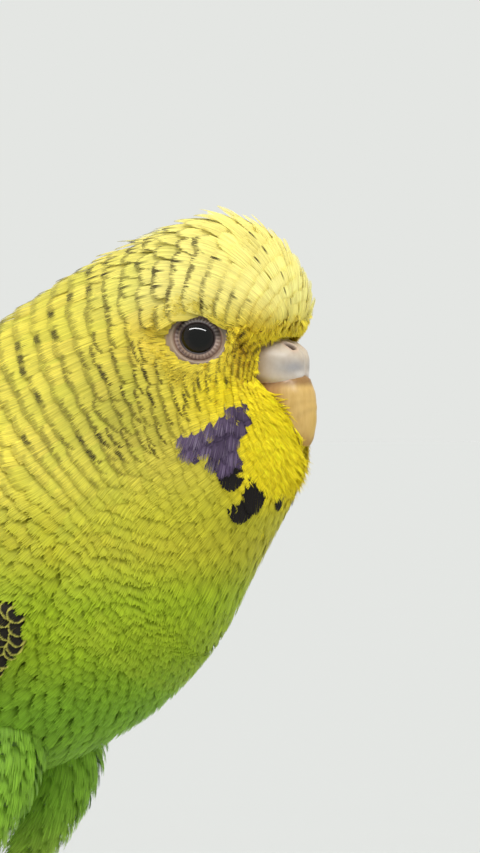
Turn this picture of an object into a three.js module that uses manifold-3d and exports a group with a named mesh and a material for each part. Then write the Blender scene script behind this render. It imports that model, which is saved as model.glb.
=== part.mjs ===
// A life-size budgerigar standing on a flat floor, its head as seen in close-up:
// crown feathers a little raised, the bill half sunk in its bib of yellow feathers.
// Millimetres, +Z up. The bird faces -Y, so its left side is +X.

import * as THREE from 'three';
import { mergeVertices } from 'three/addons/utils/BufferGeometryUtils.js';
import Module from 'manifold-3d';

const wasm = await Module();
wasm.setup();

// Driving dimensions

const gap = 0.3; // between two pieces that touch
const facetsAround = 32; // facets round the body

// The body from the middle of the face to the root of the tail. Each section runs from a
// point of the crown and back to one of the chin, breast and belly, both as [forward, up].
// wide is half its width, and bow how far its sides lie behind its middle.
const bodySections = [
  { back: [46.6, 82.6], front: [46.6, 81.4], wide: 0.6, bow: 0 },
  { back: [47.0, 89.5], front: [46.8, 74.5], wide: 5.8, bow: 2 },
  { back: [47.5, 96], front: [46.2, 70.5], wide: 10, bow: 4.5 },
  { back: [45, 101.5], front: [44.4, 67], wide: 12.7, bow: 7 },
  { back: [40.3, 106.2], front: [42.6, 63.6], wide: 14, bow: 8 },
  { back: [34.5, 108], front: [40.7, 60.4], wide: 14.8, bow: 7.5 },
  { back: [28, 107], front: [38.6, 57], wide: 15.6, bow: 6 },
  { back: [20.4, 103.7], front: [36.3, 53], wide: 17, bow: 4 },
  { back: [12, 99.4], front: [34, 49], wide: 18.7, bow: 2 },
  { back: [3, 94.2], front: [30.5, 44.5], wide: 20.4, bow: 0.5 },
  { back: [-7, 87.2], front: [25.5, 39.5], wide: 21.6, bow: 0 },
  { back: [-16, 79.3], front: [18.5, 34.3], wide: 22, bow: 0 },
  { back: [-25, 68.8], front: [9, 29.8], wide: 21.2, bow: 0 },
  { back: [-32.5, 58], front: [-2, 26], wide: 18.8, bow: 0 },
  { back: [-39, 48], front: [-14, 23.4], wide: 15.4, bow: 0 },
  { back: [-45, 39.5], front: [-26, 21.8], wide: 11.8, bow: 0 },
  { back: [-52, 33], front: [-39, 20.6], wide: 8.8, bow: 0 },
  { back: [-61, 28], front: [-53, 18.4], wide: 7.6, bow: 0 },
  { back: [-72, 24.5], front: [-67, 15.8], wide: 7, bow: 0 },
];
const widestAt = 0.47; // height of the widest place in a section, as a share of its depth
const headEnds = 6.6; // places along bodySections, counted in sections
const neckEnds = 8.4;
const trunkEnds = 17; // the last section only guides the wing tips, which lie over the tail
const headRound = 0.84; // under 1, a section is fuller than an oval
const bodyRound = 0.95;

const eye = { radius: 3.2, side: 12.9, forward: 37.2, up: 90.2, turnFromFront: 68 };

const cere = { forward: 42.4, up: 86.9, wide: 4.6, deep: 5.5, tall: 3.1, slope: 8 };

// The upper bill from its root under the cere to its tip, as level ovals.
const upperBill = [
  { forward: 42.9, up: 83.4, wide: 4.0, deep: 5.1 },
  { forward: 43.3, up: 81.8, wide: 3.8, deep: 5.4 },
  { forward: 44.0, up: 80.2, wide: 3.4, deep: 5.0 },
  { forward: 45.1, up: 78.2, wide: 2.6, deep: 3.8 },
  { forward: 46.4, up: 76.6, wide: 1.7, deep: 2.2 },
  { forward: 47.3, up: 75.2, wide: 0.7, deep: 0.8 },
];
const lowerBill = { forward: 44.7, up: 74.6, wide: 2.3, deep: 2.2, tall: 2.4 };

// A folded wing lies on the trunk. from and to are places along bodySections, and the
// angles are turned from the middle of the back towards the belly.
const wing = { from: 9.2, to: 17.8, edge: 0.9, bulge: 2.4, sunk: 0.8 };
const wingThinning = 0.6; // share of the bulge that is lost from shoulder to tip
const shoulderStart = 0.3; // share of the bulge at the very front of the shoulder
const wingUpperEdge = [62, 40, 22, 13, 9, 7, 7, 8];
const wingLowerEdge = [106, 122, 124, 116, 104, 88, 64, 34];

// The tail as seen from above and from the side: tapering to the long middle pair.
const tailSections = [
  { forward: -57.5, up: 23.1, wide: 7.4, thick: 4.4 },
  { forward: -66, up: 20.7, wide: 8.8, thick: 2.7 },
  { forward: -80, up: 17, wide: 9.2, thick: 2.0 },
  { forward: -97, up: 12.2, wide: 7.8, thick: 1.6 },
  { forward: -115, up: 7.1, wide: 5.8, thick: 1.3 },
  { forward: -130, up: 3.2, wide: 4.1, thick: 1.1 },
  { forward: -140, up: 1.3, wide: 3.0, thick: 0.95 },
  { forward: -147, up: 0.55, wide: 1.5, thick: 0.7 },
];

// A leg from inside the belly feathers to the ankle. The feathered thigh ends at the heel.
const legSections = [
  { side: 9, forward: 5, up: 38, thick: 8.6 },
  { side: 10, forward: 4, up: 27.5, thick: 7.2 },
  { side: 10.4, forward: 0.5, up: 19.5, thick: 4.4 },
  { side: 10.4, forward: -2.8, up: 14.4, thick: 2.2 },
  { side: 10.3, forward: -1.6, up: 10.5, thick: 1.35 },
  { side: 10.1, forward: 0.8, up: 6.6, thick: 1.25 },
  { side: 10, forward: 2.6, up: 4.1, thick: 1.45 },
];
const palm = { side: 10, forward: 3, up: 1.7, radius: 2.1 };
const toeThick = 1.3;
const clawThick = 0.75;

// Two toes point forwards and two backwards. turn is from straight ahead, outwards.
const toes = [
  { name: 'back_inner', length: 6.5, turn: -158, claw: 3.6 },
  { name: 'front_inner', length: 9.5, turn: -20, claw: 4.4 },
  { name: 'front_outer', length: 13.5, turn: 14, claw: 5 },
  { name: 'back_outer', length: 11.5, turn: 152, claw: 4.6 },
];

// Materials

function finish(color, roughness) {
  return new THREE.MeshStandardMaterial({ color, roughness, metalness: 0 });
}

const yellowFeather = finish('#d8c934', 0.85);
const greenFeather = finish('#8fae2c', 0.85);
const wingFeather = finish('#4b4a34', 0.8);
const tailFeather = finish('#23456a', 0.7);
const scaledSkin = finish('#8d93a6', 0.6);
const waxySkin = finish('#c9cbd8', 0.45);
const billHorn = finish('#b08c4a', 0.35);
const clawHorn = finish('#4a4642', 0.4);
const eyeBlack = finish('#150f0d', 0.05);

// Solids: a closed three.js geometry becomes a solid that can be joined and cut.

function bare(geometry) {
  geometry.deleteAttribute('normal');
  geometry.deleteAttribute('uv');
  return mergeVertices(geometry, 1e-4);
}

function solid(geometry) {
  const closed = bare(geometry);
  const vertProperties = new Float32Array(closed.attributes.position.array);
  const triVerts = new Uint32Array(closed.index.array);
  return new wasm.Manifold(new wasm.Mesh({ numProp: 3, vertProperties, triVerts }));
}

function geometryOf(body) {
  const { vertProperties, triVerts, numProp } = body.getMesh();
  const positions = new Float32Array((vertProperties.length / numProp) * 3);
  for (let i = 0; i < positions.length / 3; i++) {
    for (let axis = 0; axis < 3; axis++) {
      positions[3 * i + axis] = vertProperties[numProp * i + axis];
    }
  }
  const geometry = new THREE.BufferGeometry();
  geometry.setAttribute('position', new THREE.BufferAttribute(positions, 3));
  geometry.setIndex(new THREE.BufferAttribute(new Uint32Array(triVerts), 1));
  return geometry;
}

// A point given by how far it is to the left, ahead and up.
function at(side, forward, up) {
  return new THREE.Vector3(side, -forward, up);
}

// Wraps a cylinder, with flat ends, along a run of rings. rimPoint(t, angle) and
// middlePoint(t) give the place of a ring's rim and middle, from t = 0 to t = 1.
function wrap(rimPoint, middlePoint, facets, rings) {
  const geometry = new THREE.CylinderGeometry(1, 1, 1, facets, rings);
  const position = geometry.attributes.position;
  for (let i = 0; i < position.count; i++) {
    const t = 0.5 + position.getY(i);
    const isMiddle = Math.hypot(position.getX(i), position.getZ(i)) < 0.5;
    const angle = Math.atan2(position.getX(i), position.getZ(i));
    const point = isMiddle ? middlePoint(t) : rimPoint(t, angle);
    position.setXYZ(i, point.x, point.y, point.z);
  }
  return geometry;
}

// The same shape on the other side of the bird.
function mirrored(geometry) {
  const other = bare(geometry.clone());
  other.scale(-1, 1, 1);
  const index = other.index;
  for (let i = 0; i < index.count; i += 3) {
    const first = index.getX(i);
    index.setX(i, index.getX(i + 1));
    index.setX(i + 1, first);
  }
  return other;
}

// Body: smooth sections between those listed

const backLine = new THREE.CatmullRomCurve3(bodySections.map(({ back }) => at(0, ...back)));
const frontLine = new THREE.CatmullRomCurve3(bodySections.map(({ front }) => at(0, ...front)));
const sideLine = new THREE.CatmullRomCurve3(
  bodySections.map(({ wide, bow }, place) => new THREE.Vector3(wide, bow, place)),
);

function bodySection(place) {
  const t = place / (bodySections.length - 1);
  const back = backLine.getPoint(t);
  const front = frontLine.getPoint(t);
  const { x: wide, y: bow } = sideLine.getPoint(t);
  const round = THREE.MathUtils.lerp(headRound, bodyRound, THREE.MathUtils.smoothstep(place, 4, 9));
  const up = back.clone().sub(front);
  const depth = up.length();
  up.normalize();
  const behind = new THREE.Vector3(1, 0, 0).cross(up).negate();
  const middle = front.clone().lerp(back, widestAt);
  return { middle, up, behind, depth, wide, bow, round };
}

function swell(share, round) {
  return Math.sign(share) * Math.abs(share) ** round;
}

// grow pushes the surface outwards.
function bodyPoint(place, angle, grow = 0) {
  const { middle, up, behind, depth, wide, bow, round } = bodySection(place);
  const across = swell(Math.sin(angle), round);
  const along = swell(Math.cos(angle), round);
  const reach = depth * (along > 0 ? 1 - widestAt : widestAt);
  const point = middle.clone();
  point.addScaledVector(up, along * (reach + grow));
  point.addScaledVector(behind, bow * across * across);
  point.x += across * (wide + grow);
  return point;
}

function bodyLength(from, to, rings, grow = 0) {
  const place = (t) => from + (to - from) * t;
  const rim = (t, angle) => bodyPoint(place(t), angle, grow);
  const middle = (t) => bodySection(place(t)).middle;
  return wrap(rim, middle, facetsAround, rings);
}

// The places at which two lengths of the body end, a gap apart.
function cutAt(place) {
  const step = 0.01;
  const spread = bodySection(place).middle.distanceTo(bodySection(place + step).middle) / step;
  const half = gap / 2 / spread;
  return { before: place - half, after: place + half };
}

const headCut = cutAt(headEnds);
const neckCut = cutAt(neckEnds);
const tailCut = cutAt(trunkEnds - 0.1);

// Eyes: balls turned outwards and slightly forwards, each in its socket

function eyeBall(side, grow) {
  const turn = THREE.MathUtils.degToRad(eye.turnFromFront);
  const outward = at(side * Math.sin(turn), Math.cos(turn), 0);
  const centre = at(side * eye.side, eye.forward, eye.up).addScaledVector(outward, -eye.radius);
  const ball = new THREE.SphereGeometry(eye.radius + grow, 14, 10);
  ball.rotateX(Math.PI / 2);
  return ball.translate(centre.x, centre.y, centre.z);
}

// Cere: the soft pad that holds the nostrils, two lobes with a groove between them

function cereBody(grow) {
  const ball = new THREE.SphereGeometry(1, 16, 10);
  ball.rotateX(Math.PI / 2);
  const position = ball.attributes.position;
  for (let i = 0; i < position.count; i++) {
    const side = position.getX(i);
    const groove = 1 - 0.08 * Math.exp(-((side / 0.22) ** 2)) * Math.max(0, -position.getY(i));
    position.setXYZ(
      i,
      side * (cere.wide + grow),
      position.getY(i) * (cere.deep + grow) * groove,
      position.getZ(i) * (cere.tall + grow),
    );
  }
  ball.rotateX(THREE.MathUtils.degToRad(cere.slope));
  return ball.translate(0, -cere.forward, cere.up);
}

// Bill: level ovals from the root down to the tip

const billMiddles = new THREE.CatmullRomCurve3(
  upperBill.map(({ forward, up }) => at(0, forward, up)),
);
const billSizes = new THREE.CatmullRomCurve3(
  upperBill.map(({ wide, deep }, place) => new THREE.Vector3(wide, deep, place)),
);

function upperBillBody(grow) {
  const middle = (t) => billMiddles.getPoint(t).add(new THREE.Vector3(0, 0, grow * (1 - 2 * t)));
  const rim = (t, angle) => {
    const { x: wide, y: deep } = billSizes.getPoint(t);
    const point = middle(t);
    point.x += Math.sin(angle) * (wide + grow);
    point.y += Math.cos(angle) * (deep + grow);
    return point;
  };
  return wrap(rim, middle, 16, 8);
}

function lowerBillBody(grow) {
  const ball = new THREE.SphereGeometry(1, 12, 8);
  ball.rotateX(Math.PI / 2);
  ball.scale(lowerBill.wide + grow, lowerBill.deep + grow, lowerBill.tall + grow);
  return ball.translate(0, -lowerBill.forward, lowerBill.up);
}

const upperBillSolid = solid(upperBillBody(0));
const cereSolid = solid(cereBody(0)).subtract(solid(upperBillBody(gap)));
const lowerBillSolid = solid(lowerBillBody(0)).subtract(solid(upperBillBody(gap)));

// Head: the first length of the body, less the eye sockets and the place of the bill

const headSolid = solid(bodyLength(0, headCut.before, 16))
  .subtract(solid(eyeBall(1, gap)))
  .subtract(solid(eyeBall(-1, gap)))
  .subtract(solid(cereBody(gap)))
  .subtract(solid(upperBillBody(gap)))
  .subtract(solid(lowerBillBody(gap)));

// Tail and legs: ovals along a line. hint is the way that the top of each oval faces.

function sweep(sections, hint, facets, rings) {
  const line = new THREE.CatmullRomCurve3(
    sections.map(({ side = 0, forward, up }) => at(side, forward, up)),
  );
  const sizes = new THREE.CatmullRomCurve3(
    sections.map(({ wide, thick }, place) => new THREE.Vector3(wide ?? thick, thick, place)),
  );
  const middle = (t) => line.getPoint(t);
  const rim = (t, angle) => {
    const direction = line.getTangent(t);
    const across = direction.clone().cross(hint).normalize();
    const top = across.clone().cross(direction);
    const { x: wide, y: thick } = sizes.getPoint(t);
    const point = middle(t).addScaledVector(across, Math.sin(angle) * wide);
    return point.addScaledVector(top, Math.cos(angle) * thick);
  };
  return wrap(rim, middle, facets, rings);
}

const upwards = new THREE.Vector3(0, 0, 1);
const backwards = new THREE.Vector3(0, 1, 0);
const floorSize = 400;
const floor = solid(
  new THREE.BoxGeometry(floorSize, floorSize, floorSize).translate(0, 0, -floorSize / 2),
);
const grownTrunk = solid(bodyLength(neckEnds - 1, trunkEnds, 16, gap));

const tailSolid = solid(sweep(tailSections, upwards, 12, 14)).subtract(floor).subtract(grownTrunk);
const legSolid = solid(sweep(legSections, backwards, 12, 10)).subtract(grownTrunk);

// Wings: a shell fitted to the trunk, thick at the shoulder and thin at the feather tips

function angleAlong(angles, t) {
  const line = new THREE.SplineCurve(angles.map((angle, i) => new THREE.Vector2(i, angle)));
  return THREE.MathUtils.degToRad(line.getPoint(t).y);
}

function wingBody() {
  const rim = (t, turn) => {
    const place = wing.from + (wing.to - wing.from) * t;
    const share = 0.5 - 0.5 * Math.cos(turn);
    const upper = angleAlong(wingUpperEdge, t);
    const lower = angleAlong(wingLowerEdge, t);
    const angle = upper + (lower - upper) * share;
    const isOuter = Math.sin(turn) > 1e-6;
    const fade = Math.sin(Math.PI * share) ** 0.7;
    const shoulder = Math.min(1, shoulderStart + 4 * t);
    const bulge = wing.bulge * fade * shoulder * (1 - wingThinning * t);
    const lift = isOuter ? gap + wing.edge + bulge : -wing.sunk;
    return bodyPoint(place, angle, lift);
  };
  const middle = (t) => rim(t, Math.PI / 2).lerp(rim(t, -Math.PI / 2), 0.5);
  return wrap(rim, middle, 14, 14);
}

// Feet: four toes and a palm, flat under the soles

function toePoint(toe, reach, up) {
  const turn = THREE.MathUtils.degToRad(toe.turn);
  return {
    side: palm.side + reach * Math.sin(turn),
    forward: palm.forward + reach * Math.cos(turn),
    up,
  };
}

function toeBody(toe) {
  const low = 0.85 * toeThick;
  const sections = [
    { ...toePoint(toe, 0, palm.up), thick: toeThick * 1.1 },
    { ...toePoint(toe, toe.length * 0.35, low + 0.1), thick: toeThick },
    { ...toePoint(toe, toe.length * 0.62, low), thick: toeThick * 0.82 },
    { ...toePoint(toe, toe.length * 0.85, low), thick: toeThick * 0.95 },
    { ...toePoint(toe, toe.length, low), thick: toeThick * 0.62 },
  ];
  return sweep(sections, upwards, 8, 6);
}

function clawBody(toe) {
  const start = toe.length + gap;
  const low = 0.85 * toeThick;
  const sections = [
    { ...toePoint(toe, start, low), thick: clawThick },
    { ...toePoint(toe, start + toe.claw * 0.35, low + 0.45), thick: clawThick * 0.8 },
    { ...toePoint(toe, start + toe.claw * 0.75, low + 0.1), thick: clawThick * 0.55 },
    { ...toePoint(toe, start + toe.claw, 0.3), thick: clawThick * 0.35 },
  ];
  return sweep(sections, upwards, 6, 4);
}

function footSolid() {
  const ball = new THREE.SphereGeometry(palm.radius, 10, 8);
  ball.rotateX(Math.PI / 2);
  let foot = solid(ball.translate(palm.side, -palm.forward, palm.up));
  for (const toe of toes) {
    foot = foot.add(solid(toeBody(toe)));
  }
  return foot.subtract(floor);
}

// The bird

const bird = new THREE.Group();

function add(name, geometry, material) {
  const mesh = new THREE.Mesh(geometry, material);
  mesh.name = name;
  bird.add(mesh);
}

function addPair(name, geometry, material) {
  add(`${name}_left`, geometry, material);
  add(`${name}_right`, mirrored(geometry), material);
}

add('head', geometryOf(headSolid), yellowFeather);
add('neck', bodyLength(headCut.after, neckCut.before, 4), yellowFeather);
add('trunk', bodyLength(neckCut.after, tailCut.before, 14), greenFeather);
add('tail', geometryOf(tailSolid), tailFeather);
addPair('wing', geometryOf(solid(wingBody()).subtract(grownTrunk)), wingFeather);
addPair('leg', geometryOf(legSolid), greenFeather);
addPair('foot', geometryOf(footSolid()), scaledSkin);
addPair('eye', eyeBall(1, 0), eyeBlack);
add('cere', geometryOf(cereSolid), waxySkin);
add('bill_upper', geometryOf(upperBillSolid), billHorn);
add('bill_lower', geometryOf(lowerBillSolid), billHorn);
for (const toe of toes) {
  addPair(`claw_${toe.name}`, geometryOf(solid(clawBody(toe)).subtract(floor)), clawHorn);
}

// The origin is on the floor, under the middle of the bird.
const extent = new THREE.Box3().setFromObject(bird);
bird.position.y = -(extent.min.y + extent.max.y) / 2;

export default bird;
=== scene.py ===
# A life-size museum model of a green budgerigar, standing on a pale floor.
# The bird faces -Y and its left side is +X.

import math

import bmesh
import bpy
import numpy as np
from mathutils import Matrix, Vector
from mathutils.bvhtree import BVHTree
from mathutils.kdtree import KDTree


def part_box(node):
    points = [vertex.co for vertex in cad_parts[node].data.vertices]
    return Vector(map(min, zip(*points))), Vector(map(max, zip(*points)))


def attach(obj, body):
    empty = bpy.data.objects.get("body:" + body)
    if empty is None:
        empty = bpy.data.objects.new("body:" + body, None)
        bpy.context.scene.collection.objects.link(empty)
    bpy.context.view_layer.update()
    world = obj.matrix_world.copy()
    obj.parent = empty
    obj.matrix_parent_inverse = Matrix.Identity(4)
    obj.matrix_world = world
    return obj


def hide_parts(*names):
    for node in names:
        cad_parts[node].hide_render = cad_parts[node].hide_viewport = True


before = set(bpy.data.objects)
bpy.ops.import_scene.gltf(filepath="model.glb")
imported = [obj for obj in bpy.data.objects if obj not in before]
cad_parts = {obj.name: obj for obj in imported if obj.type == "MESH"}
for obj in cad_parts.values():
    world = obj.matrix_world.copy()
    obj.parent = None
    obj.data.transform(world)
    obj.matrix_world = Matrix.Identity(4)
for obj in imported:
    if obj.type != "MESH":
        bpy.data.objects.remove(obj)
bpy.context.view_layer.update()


# Camera
# A long lens at the height of the throat, on the bird's right and turned 25 degrees towards
# its front. It shows the head as large as the photograph does.

MM = 0.001
FRAME_PX = (480, 853)
MM_PER_PX = 0.14
BILL_FRONT = 48.7  # how far the bill's front lies ahead of the thighs, in mm
FRONT_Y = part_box("bill_upper")[0][1] / MM
CROWN_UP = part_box("head")[1][2] / MM
CROWN_PX_Y = 211
TURN_TO_FRONT = math.radians(25)
CAMERA_AWAY = 900.0
SENSOR = 36.0


def spot(side, forward, up):
    """A point in world millimetres from how far it is to the left, ahead and up."""
    return np.array([side, FRONT_Y + BILL_FRONT - forward, up], dtype=float)


def link_piece(name, data):
    """A new object of the scene from a mesh, light or camera."""
    piece = bpy.data.objects.new(name, data)
    bpy.context.collection.objects.link(piece)
    return piece


aim_forward = FRAME_PX[0] / 2 * MM_PER_PX / math.cos(TURN_TO_FRONT)
aim_up = CROWN_UP - (FRAME_PX[1] / 2 - CROWN_PX_Y) * MM_PER_PX
aim = spot(0, aim_forward, aim_up)
towards_camera = np.array([-math.cos(TURN_TO_FRONT), -math.sin(TURN_TO_FRONT), 0.0])

lens = bpy.data.cameras.new("camera")
lens.sensor_width = SENSOR
lens.lens = SENSOR * CAMERA_AWAY / (FRAME_PX[1] * MM_PER_PX)
lens.clip_start = 0.01
camera = link_piece("camera", lens)
camera.location = Vector((aim + towards_camera * CAMERA_AWAY) * MM)
camera.rotation_euler = Vector(towards_camera).to_track_quat("Z", "Y").to_euler()
bpy.context.scene.camera = camera


# Floor and light
# A plain pale floor under an even pale sky, a broad soft light from above the bird's front
# and a weaker one from behind. A long strip above the camera shows only as the eye's glint.

FLOOR_COLOUR = "#c8cacb"
ROOM_COLOUR = "#e4e6e3"
FLOOR_HALF = 30.0  # in metres
LIGHT_TARGET = (0, 20, 80)


def hex_colour(code):
    """An sRGB hex colour as linear red, green, blue, alpha."""
    parts = [int(code[i:i + 2], 16) / 255 for i in (1, 3, 5)]
    return [c / 12.92 if c <= 0.04045 else ((c + 0.055) / 1.055) ** 2.4 for c in parts] + [1.0]


def add_node(tree, kind, links=(), **settings):
    """Adds a node. A setting is a property, or the value of the input socket of that name;
    each link joins one of its inputs to another node's output."""
    node = tree.nodes.new(kind)
    for key, value in settings.items():
        name = key.replace("_", " ")
        if hasattr(node, key):
            setattr(node, key, value)
        else:
            sockets = [s for s in node.inputs if s.name.lower() == name.lower() and s.enabled]
            sockets[0].default_value = value
    for socket, source in links:
        tree.links.new(source, node.inputs[socket])
    return node


def new_material(name):
    """An empty node material, with its tree."""
    material = bpy.data.materials.new(name)
    material.use_nodes = True
    material.node_tree.nodes.clear()
    return material, material.node_tree


def finish_material(tree, *links, **settings):
    """Ends a material in one shader with these links and settings."""
    shader = add_node(tree, "ShaderNodeBsdfPrincipled", links, **settings)
    add_node(tree, "ShaderNodeOutputMaterial", [("Surface", shader.outputs[0])])


floor_material, tree = new_material("matt_floor_paint")
finish_material(tree, Base_Color=hex_colour(FLOOR_COLOUR), Roughness=0.9, Specular_IOR_Level=0.0)
floor_mesh = bpy.data.meshes.new("floor")
corners = [(x * FLOOR_HALF, y * FLOOR_HALF, 0) for x, y in ((-1, -1), (1, -1), (1, 1), (-1, 1))]
floor_mesh.from_pydata(corners, [], [(0, 1, 2, 3)])
floor_mesh.materials.append(floor_material)
link_piece("floor", floor_mesh)


def add_light(name, kind, place, strength, colour, **settings):
    """A light that looks at the bird's head from a place in mm."""
    light = bpy.data.lights.new(name, kind)
    light.energy = strength
    light.color = hex_colour(colour)[:3]
    for key, value in settings.items():
        setattr(light, key, value)
    lamp = link_piece(name, light)
    lamp.location = Vector(spot(*place) * MM)
    from_target = lamp.location - Vector(spot(*LIGHT_TARGET) * MM)
    lamp.rotation_euler = from_target.to_track_quat("Z", "Y").to_euler()
    return lamp


for name, place, strength, colour, spread in (
        ("light_above", (-500, 500, 1150), 1.8, "#fffaf0", 35),
        ("light_behind", (700, -500, 700), 0.55, "#eef4ff", 60)):
    soft_light = add_light(name, "SUN", place, strength, colour, angle=math.radians(spread))
    soft_light.visible_glossy = False
glint = add_light("glint_strip", "AREA", (-899, 80, 1010), 40.0, "#ffffff", shape="RECTANGLE",
                  size=2.4, size_y=0.10)
glint.visible_diffuse = False

world = bpy.data.worlds.new("pale_room")
world.use_nodes = True
sky = world.node_tree.nodes["Background"]
sky.inputs["Color"].default_value = hex_colour(ROOM_COLOUR)
sky.inputs["Strength"].default_value = 1.0
bpy.context.scene.world = world
bpy.context.scene.view_settings.view_transform = "Standard"


# Body surface
# Feathers grow in rows from the bill back to the tail. The rows are rings round a line
# through the bird: cones that open round the bill on the head, level cuts on the body.
# The outline of the plumage is found on each ring from the solids of the frame.

ANGLES = 192
RINGS = 350
# forward and up of the line in mm, its rise and the half angle of its cone in degrees
FLOW = np.array([
    [34.0, 83.0, -3.0, 2.0],
    [34.0, 83.5, -3.0, 24.0],
    [33.0, 83.5, -2.0, 48.0],
    [31.0, 81.5, 1.0, 72.0],
    [27.0, 77.5, 9.0, 90.0],
    [18.0, 69.5, 25.0, 90.0],
    [4.0, 58.0, 40.0, 90.0],
    [-13.0, 46.5, 46.0, 90.0],
    [-29.0, 35.5, 43.0, 90.0],
    [-42.0, 28.0, 34.0, 90.0],
    [-55.5, 23.6, 23.0, 90.0],
    [-66.0, 20.4, 16.0, 90.0],
    [-75.0, 18.2, 13.0, 90.0],
])


def smooth_rows(table, places):
    """Catmull-Rom values between the rows of a table."""
    rows = np.vstack([2 * table[0] - table[1], table, 2 * table[-1] - table[-2]])
    i = np.clip(np.floor(places).astype(int), 0, len(table) - 2)
    t = (places - i)[:, None]
    a, b, c, d = rows[i], rows[i + 1], rows[i + 2], rows[i + 3]
    return 0.5 * (2 * b + (c - a) * t + (2 * a - 5 * b + 4 * c - d) * t ** 2
                  + (3 * b - a - 3 * c + d) * t ** 3)


def hull_or_copy(node, as_hull):
    """A clean bmesh of a node's outside, without its sockets if as_hull."""
    shell = bmesh.new()
    shell.from_mesh(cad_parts[node].data)
    bmesh.ops.remove_doubles(shell, verts=shell.verts, dist=1e-6)
    if as_hull:
        done = bmesh.ops.convex_hull(shell, input=shell.verts)
        spare = {*done["geom_interior"], *done["geom_unused"]}
        bmesh.ops.delete(shell, geom=[v for v in spare if isinstance(v, bmesh.types.BMVert)])
    return shell


def outline_tree(parts):
    """A search tree over the outsides of several nodes. parts maps a node to as_hull."""
    points, faces = [], []
    for node, as_hull in parts.items():
        shell = hull_or_copy(node, as_hull)
        shell.verts.index_update()
        first = len(points)
        points += [v.co.copy() for v in shell.verts]
        faces += [[first + v.index for v in face.verts] for face in shell.faces]
        shell.free()
    return BVHTree.FromPolygons(points, faces)


def cast_rings(tree, table, places, angles, far=90.0):
    """The outermost point of the solids in each direction of each ring, as a distance from
    the line, with the line's points and the directions."""
    line = smooth_rows(table, places)
    rise, cone = np.radians(line[:, 2]), np.radians(line[:, 3])
    ahead = np.stack([np.zeros_like(rise), -np.cos(rise), np.sin(rise)], 1)
    above = np.stack([np.zeros_like(rise), np.sin(rise), np.cos(rise)], 1)
    middle = np.array([spot(0, f, u) for f, u in line[:, :2]])
    across = np.array([1.0, 0, 0])
    around = (np.cos(angles)[None, :, None] * above[:, None]
              + np.sin(angles)[None, :, None] * across)
    way = (np.cos(cone)[:, None, None] * ahead[:, None]
           + np.sin(cone)[:, None, None] * around)
    reach = np.full(way.shape[:2], np.nan)
    for i in range(way.shape[0]):
        for j in range(way.shape[1]):
            start = Vector((middle[i] + way[i, j] * far) * MM)
            hit = tree.ray_cast(start, Vector(-way[i, j]), far * MM)
            if hit[0] is not None:
                reach[i, j] = far - hit[3] / MM
    return middle, way, reach


def roll_mean(values, passes):
    """Softens a grid along its rings and, closed round, across them."""
    for _ in range(passes):
        padded = np.concatenate([values[:1], values, values[-1:]])
        values = (padded[:-2] + 2 * values + padded[2:]) / 4
        values = (np.roll(values, 1, 1) + 2 * values + np.roll(values, -1, 1)) / 4
    return values


def close_gaps(values, reach=3):
    """Fills the thin cuts between the lengths of the body."""
    for step in (np.maximum, np.minimum):
        for _ in range(reach):
            padded = np.concatenate([values[:1], values, values[-1:]])
            values = step(step(padded[:-2], values), padded[2:])
    return values


body_tree = outline_tree({"head": True, "neck": True, "trunk": False, "tail": False})
ring_places = np.linspace(0, len(FLOW) - 1, RINGS)
ring_angles = np.arange(ANGLES) * 2 * math.pi / ANGLES
line_points, ring_ways, ring_reach = cast_rings(body_tree, FLOW, ring_places, ring_angles)
for column in ring_reach.T:
    missed = np.isnan(column)
    column[missed] = np.interp(ring_places[missed], ring_places[~missed], column[~missed])
ring_reach = close_gaps(ring_reach)

# between the eye and the cere the face falls in like a wedge to the sides of the bill, and
# the wedge widens over the cere, below the bill and, more, under the chin
FACE_SLOPE = 3.0
FACE_REACH = 131.9
BILL_REACH = 9.0
BILL_UP, BILL_TALL = 84, 6
BROW_UP, BROW_SLOPE = 90.3, 5.5
CHIN_UP, CHIN_SLOPE = 75, 7.0
WIDENED = 9
ahead_of_line = line_points[:, None, 1] - spot(0, 0, 0)[1]
way_up = line_points[:, None, 2] + ring_ways[..., 2] * ring_reach
room = (FACE_REACH + BILL_REACH * np.clip((BILL_UP - way_up) / BILL_TALL, 0, 1)
        + FACE_SLOPE * ahead_of_line
        + BROW_SLOPE * np.clip(way_up - BROW_UP, 0, WIDENED)
        + CHIN_SLOPE * np.clip(CHIN_UP - way_up, 0, WIDENED))
towards = np.abs(ring_ways[..., 0]) - FACE_SLOPE * ring_ways[..., 1]
allowed = np.where(towards > 0.3, room / np.maximum(towards, 0.3), 1e3)
ring_reach = roll_mean(np.minimum(ring_reach, allowed), 12)
outline = line_points[:, None] + ring_ways * ring_reach[:, :, None]


def on_left(points):
    """Points mirrored to the bird's left where they are on its right."""
    mirrored = points.copy()
    mirrored[..., 0] = np.abs(mirrored[..., 0])
    return mirrored


def near(points, side, forward, up, spread):
    """1 at a place on either side of the bird, fading over spread mm."""
    away = on_left(points) - spot(side, forward, up)
    return np.exp(-np.linalg.norm(away / np.asarray(spread), axis=-1) ** 2)


def grid_normals(grid):
    """Unit directions square to a grid that is closed round its columns."""
    along = np.gradient(grid, axis=0)
    across = (np.roll(grid, -1, 1) - np.roll(grid, 1, 1)) / 2
    normal = np.cross(across, along)
    return normal / np.maximum(np.linalg.norm(normal, axis=-1, keepdims=True), 1e-9)


normals = grid_normals(outline)
out_sign = np.sign(np.sum(normals * ring_ways))
normals *= out_sign
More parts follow.
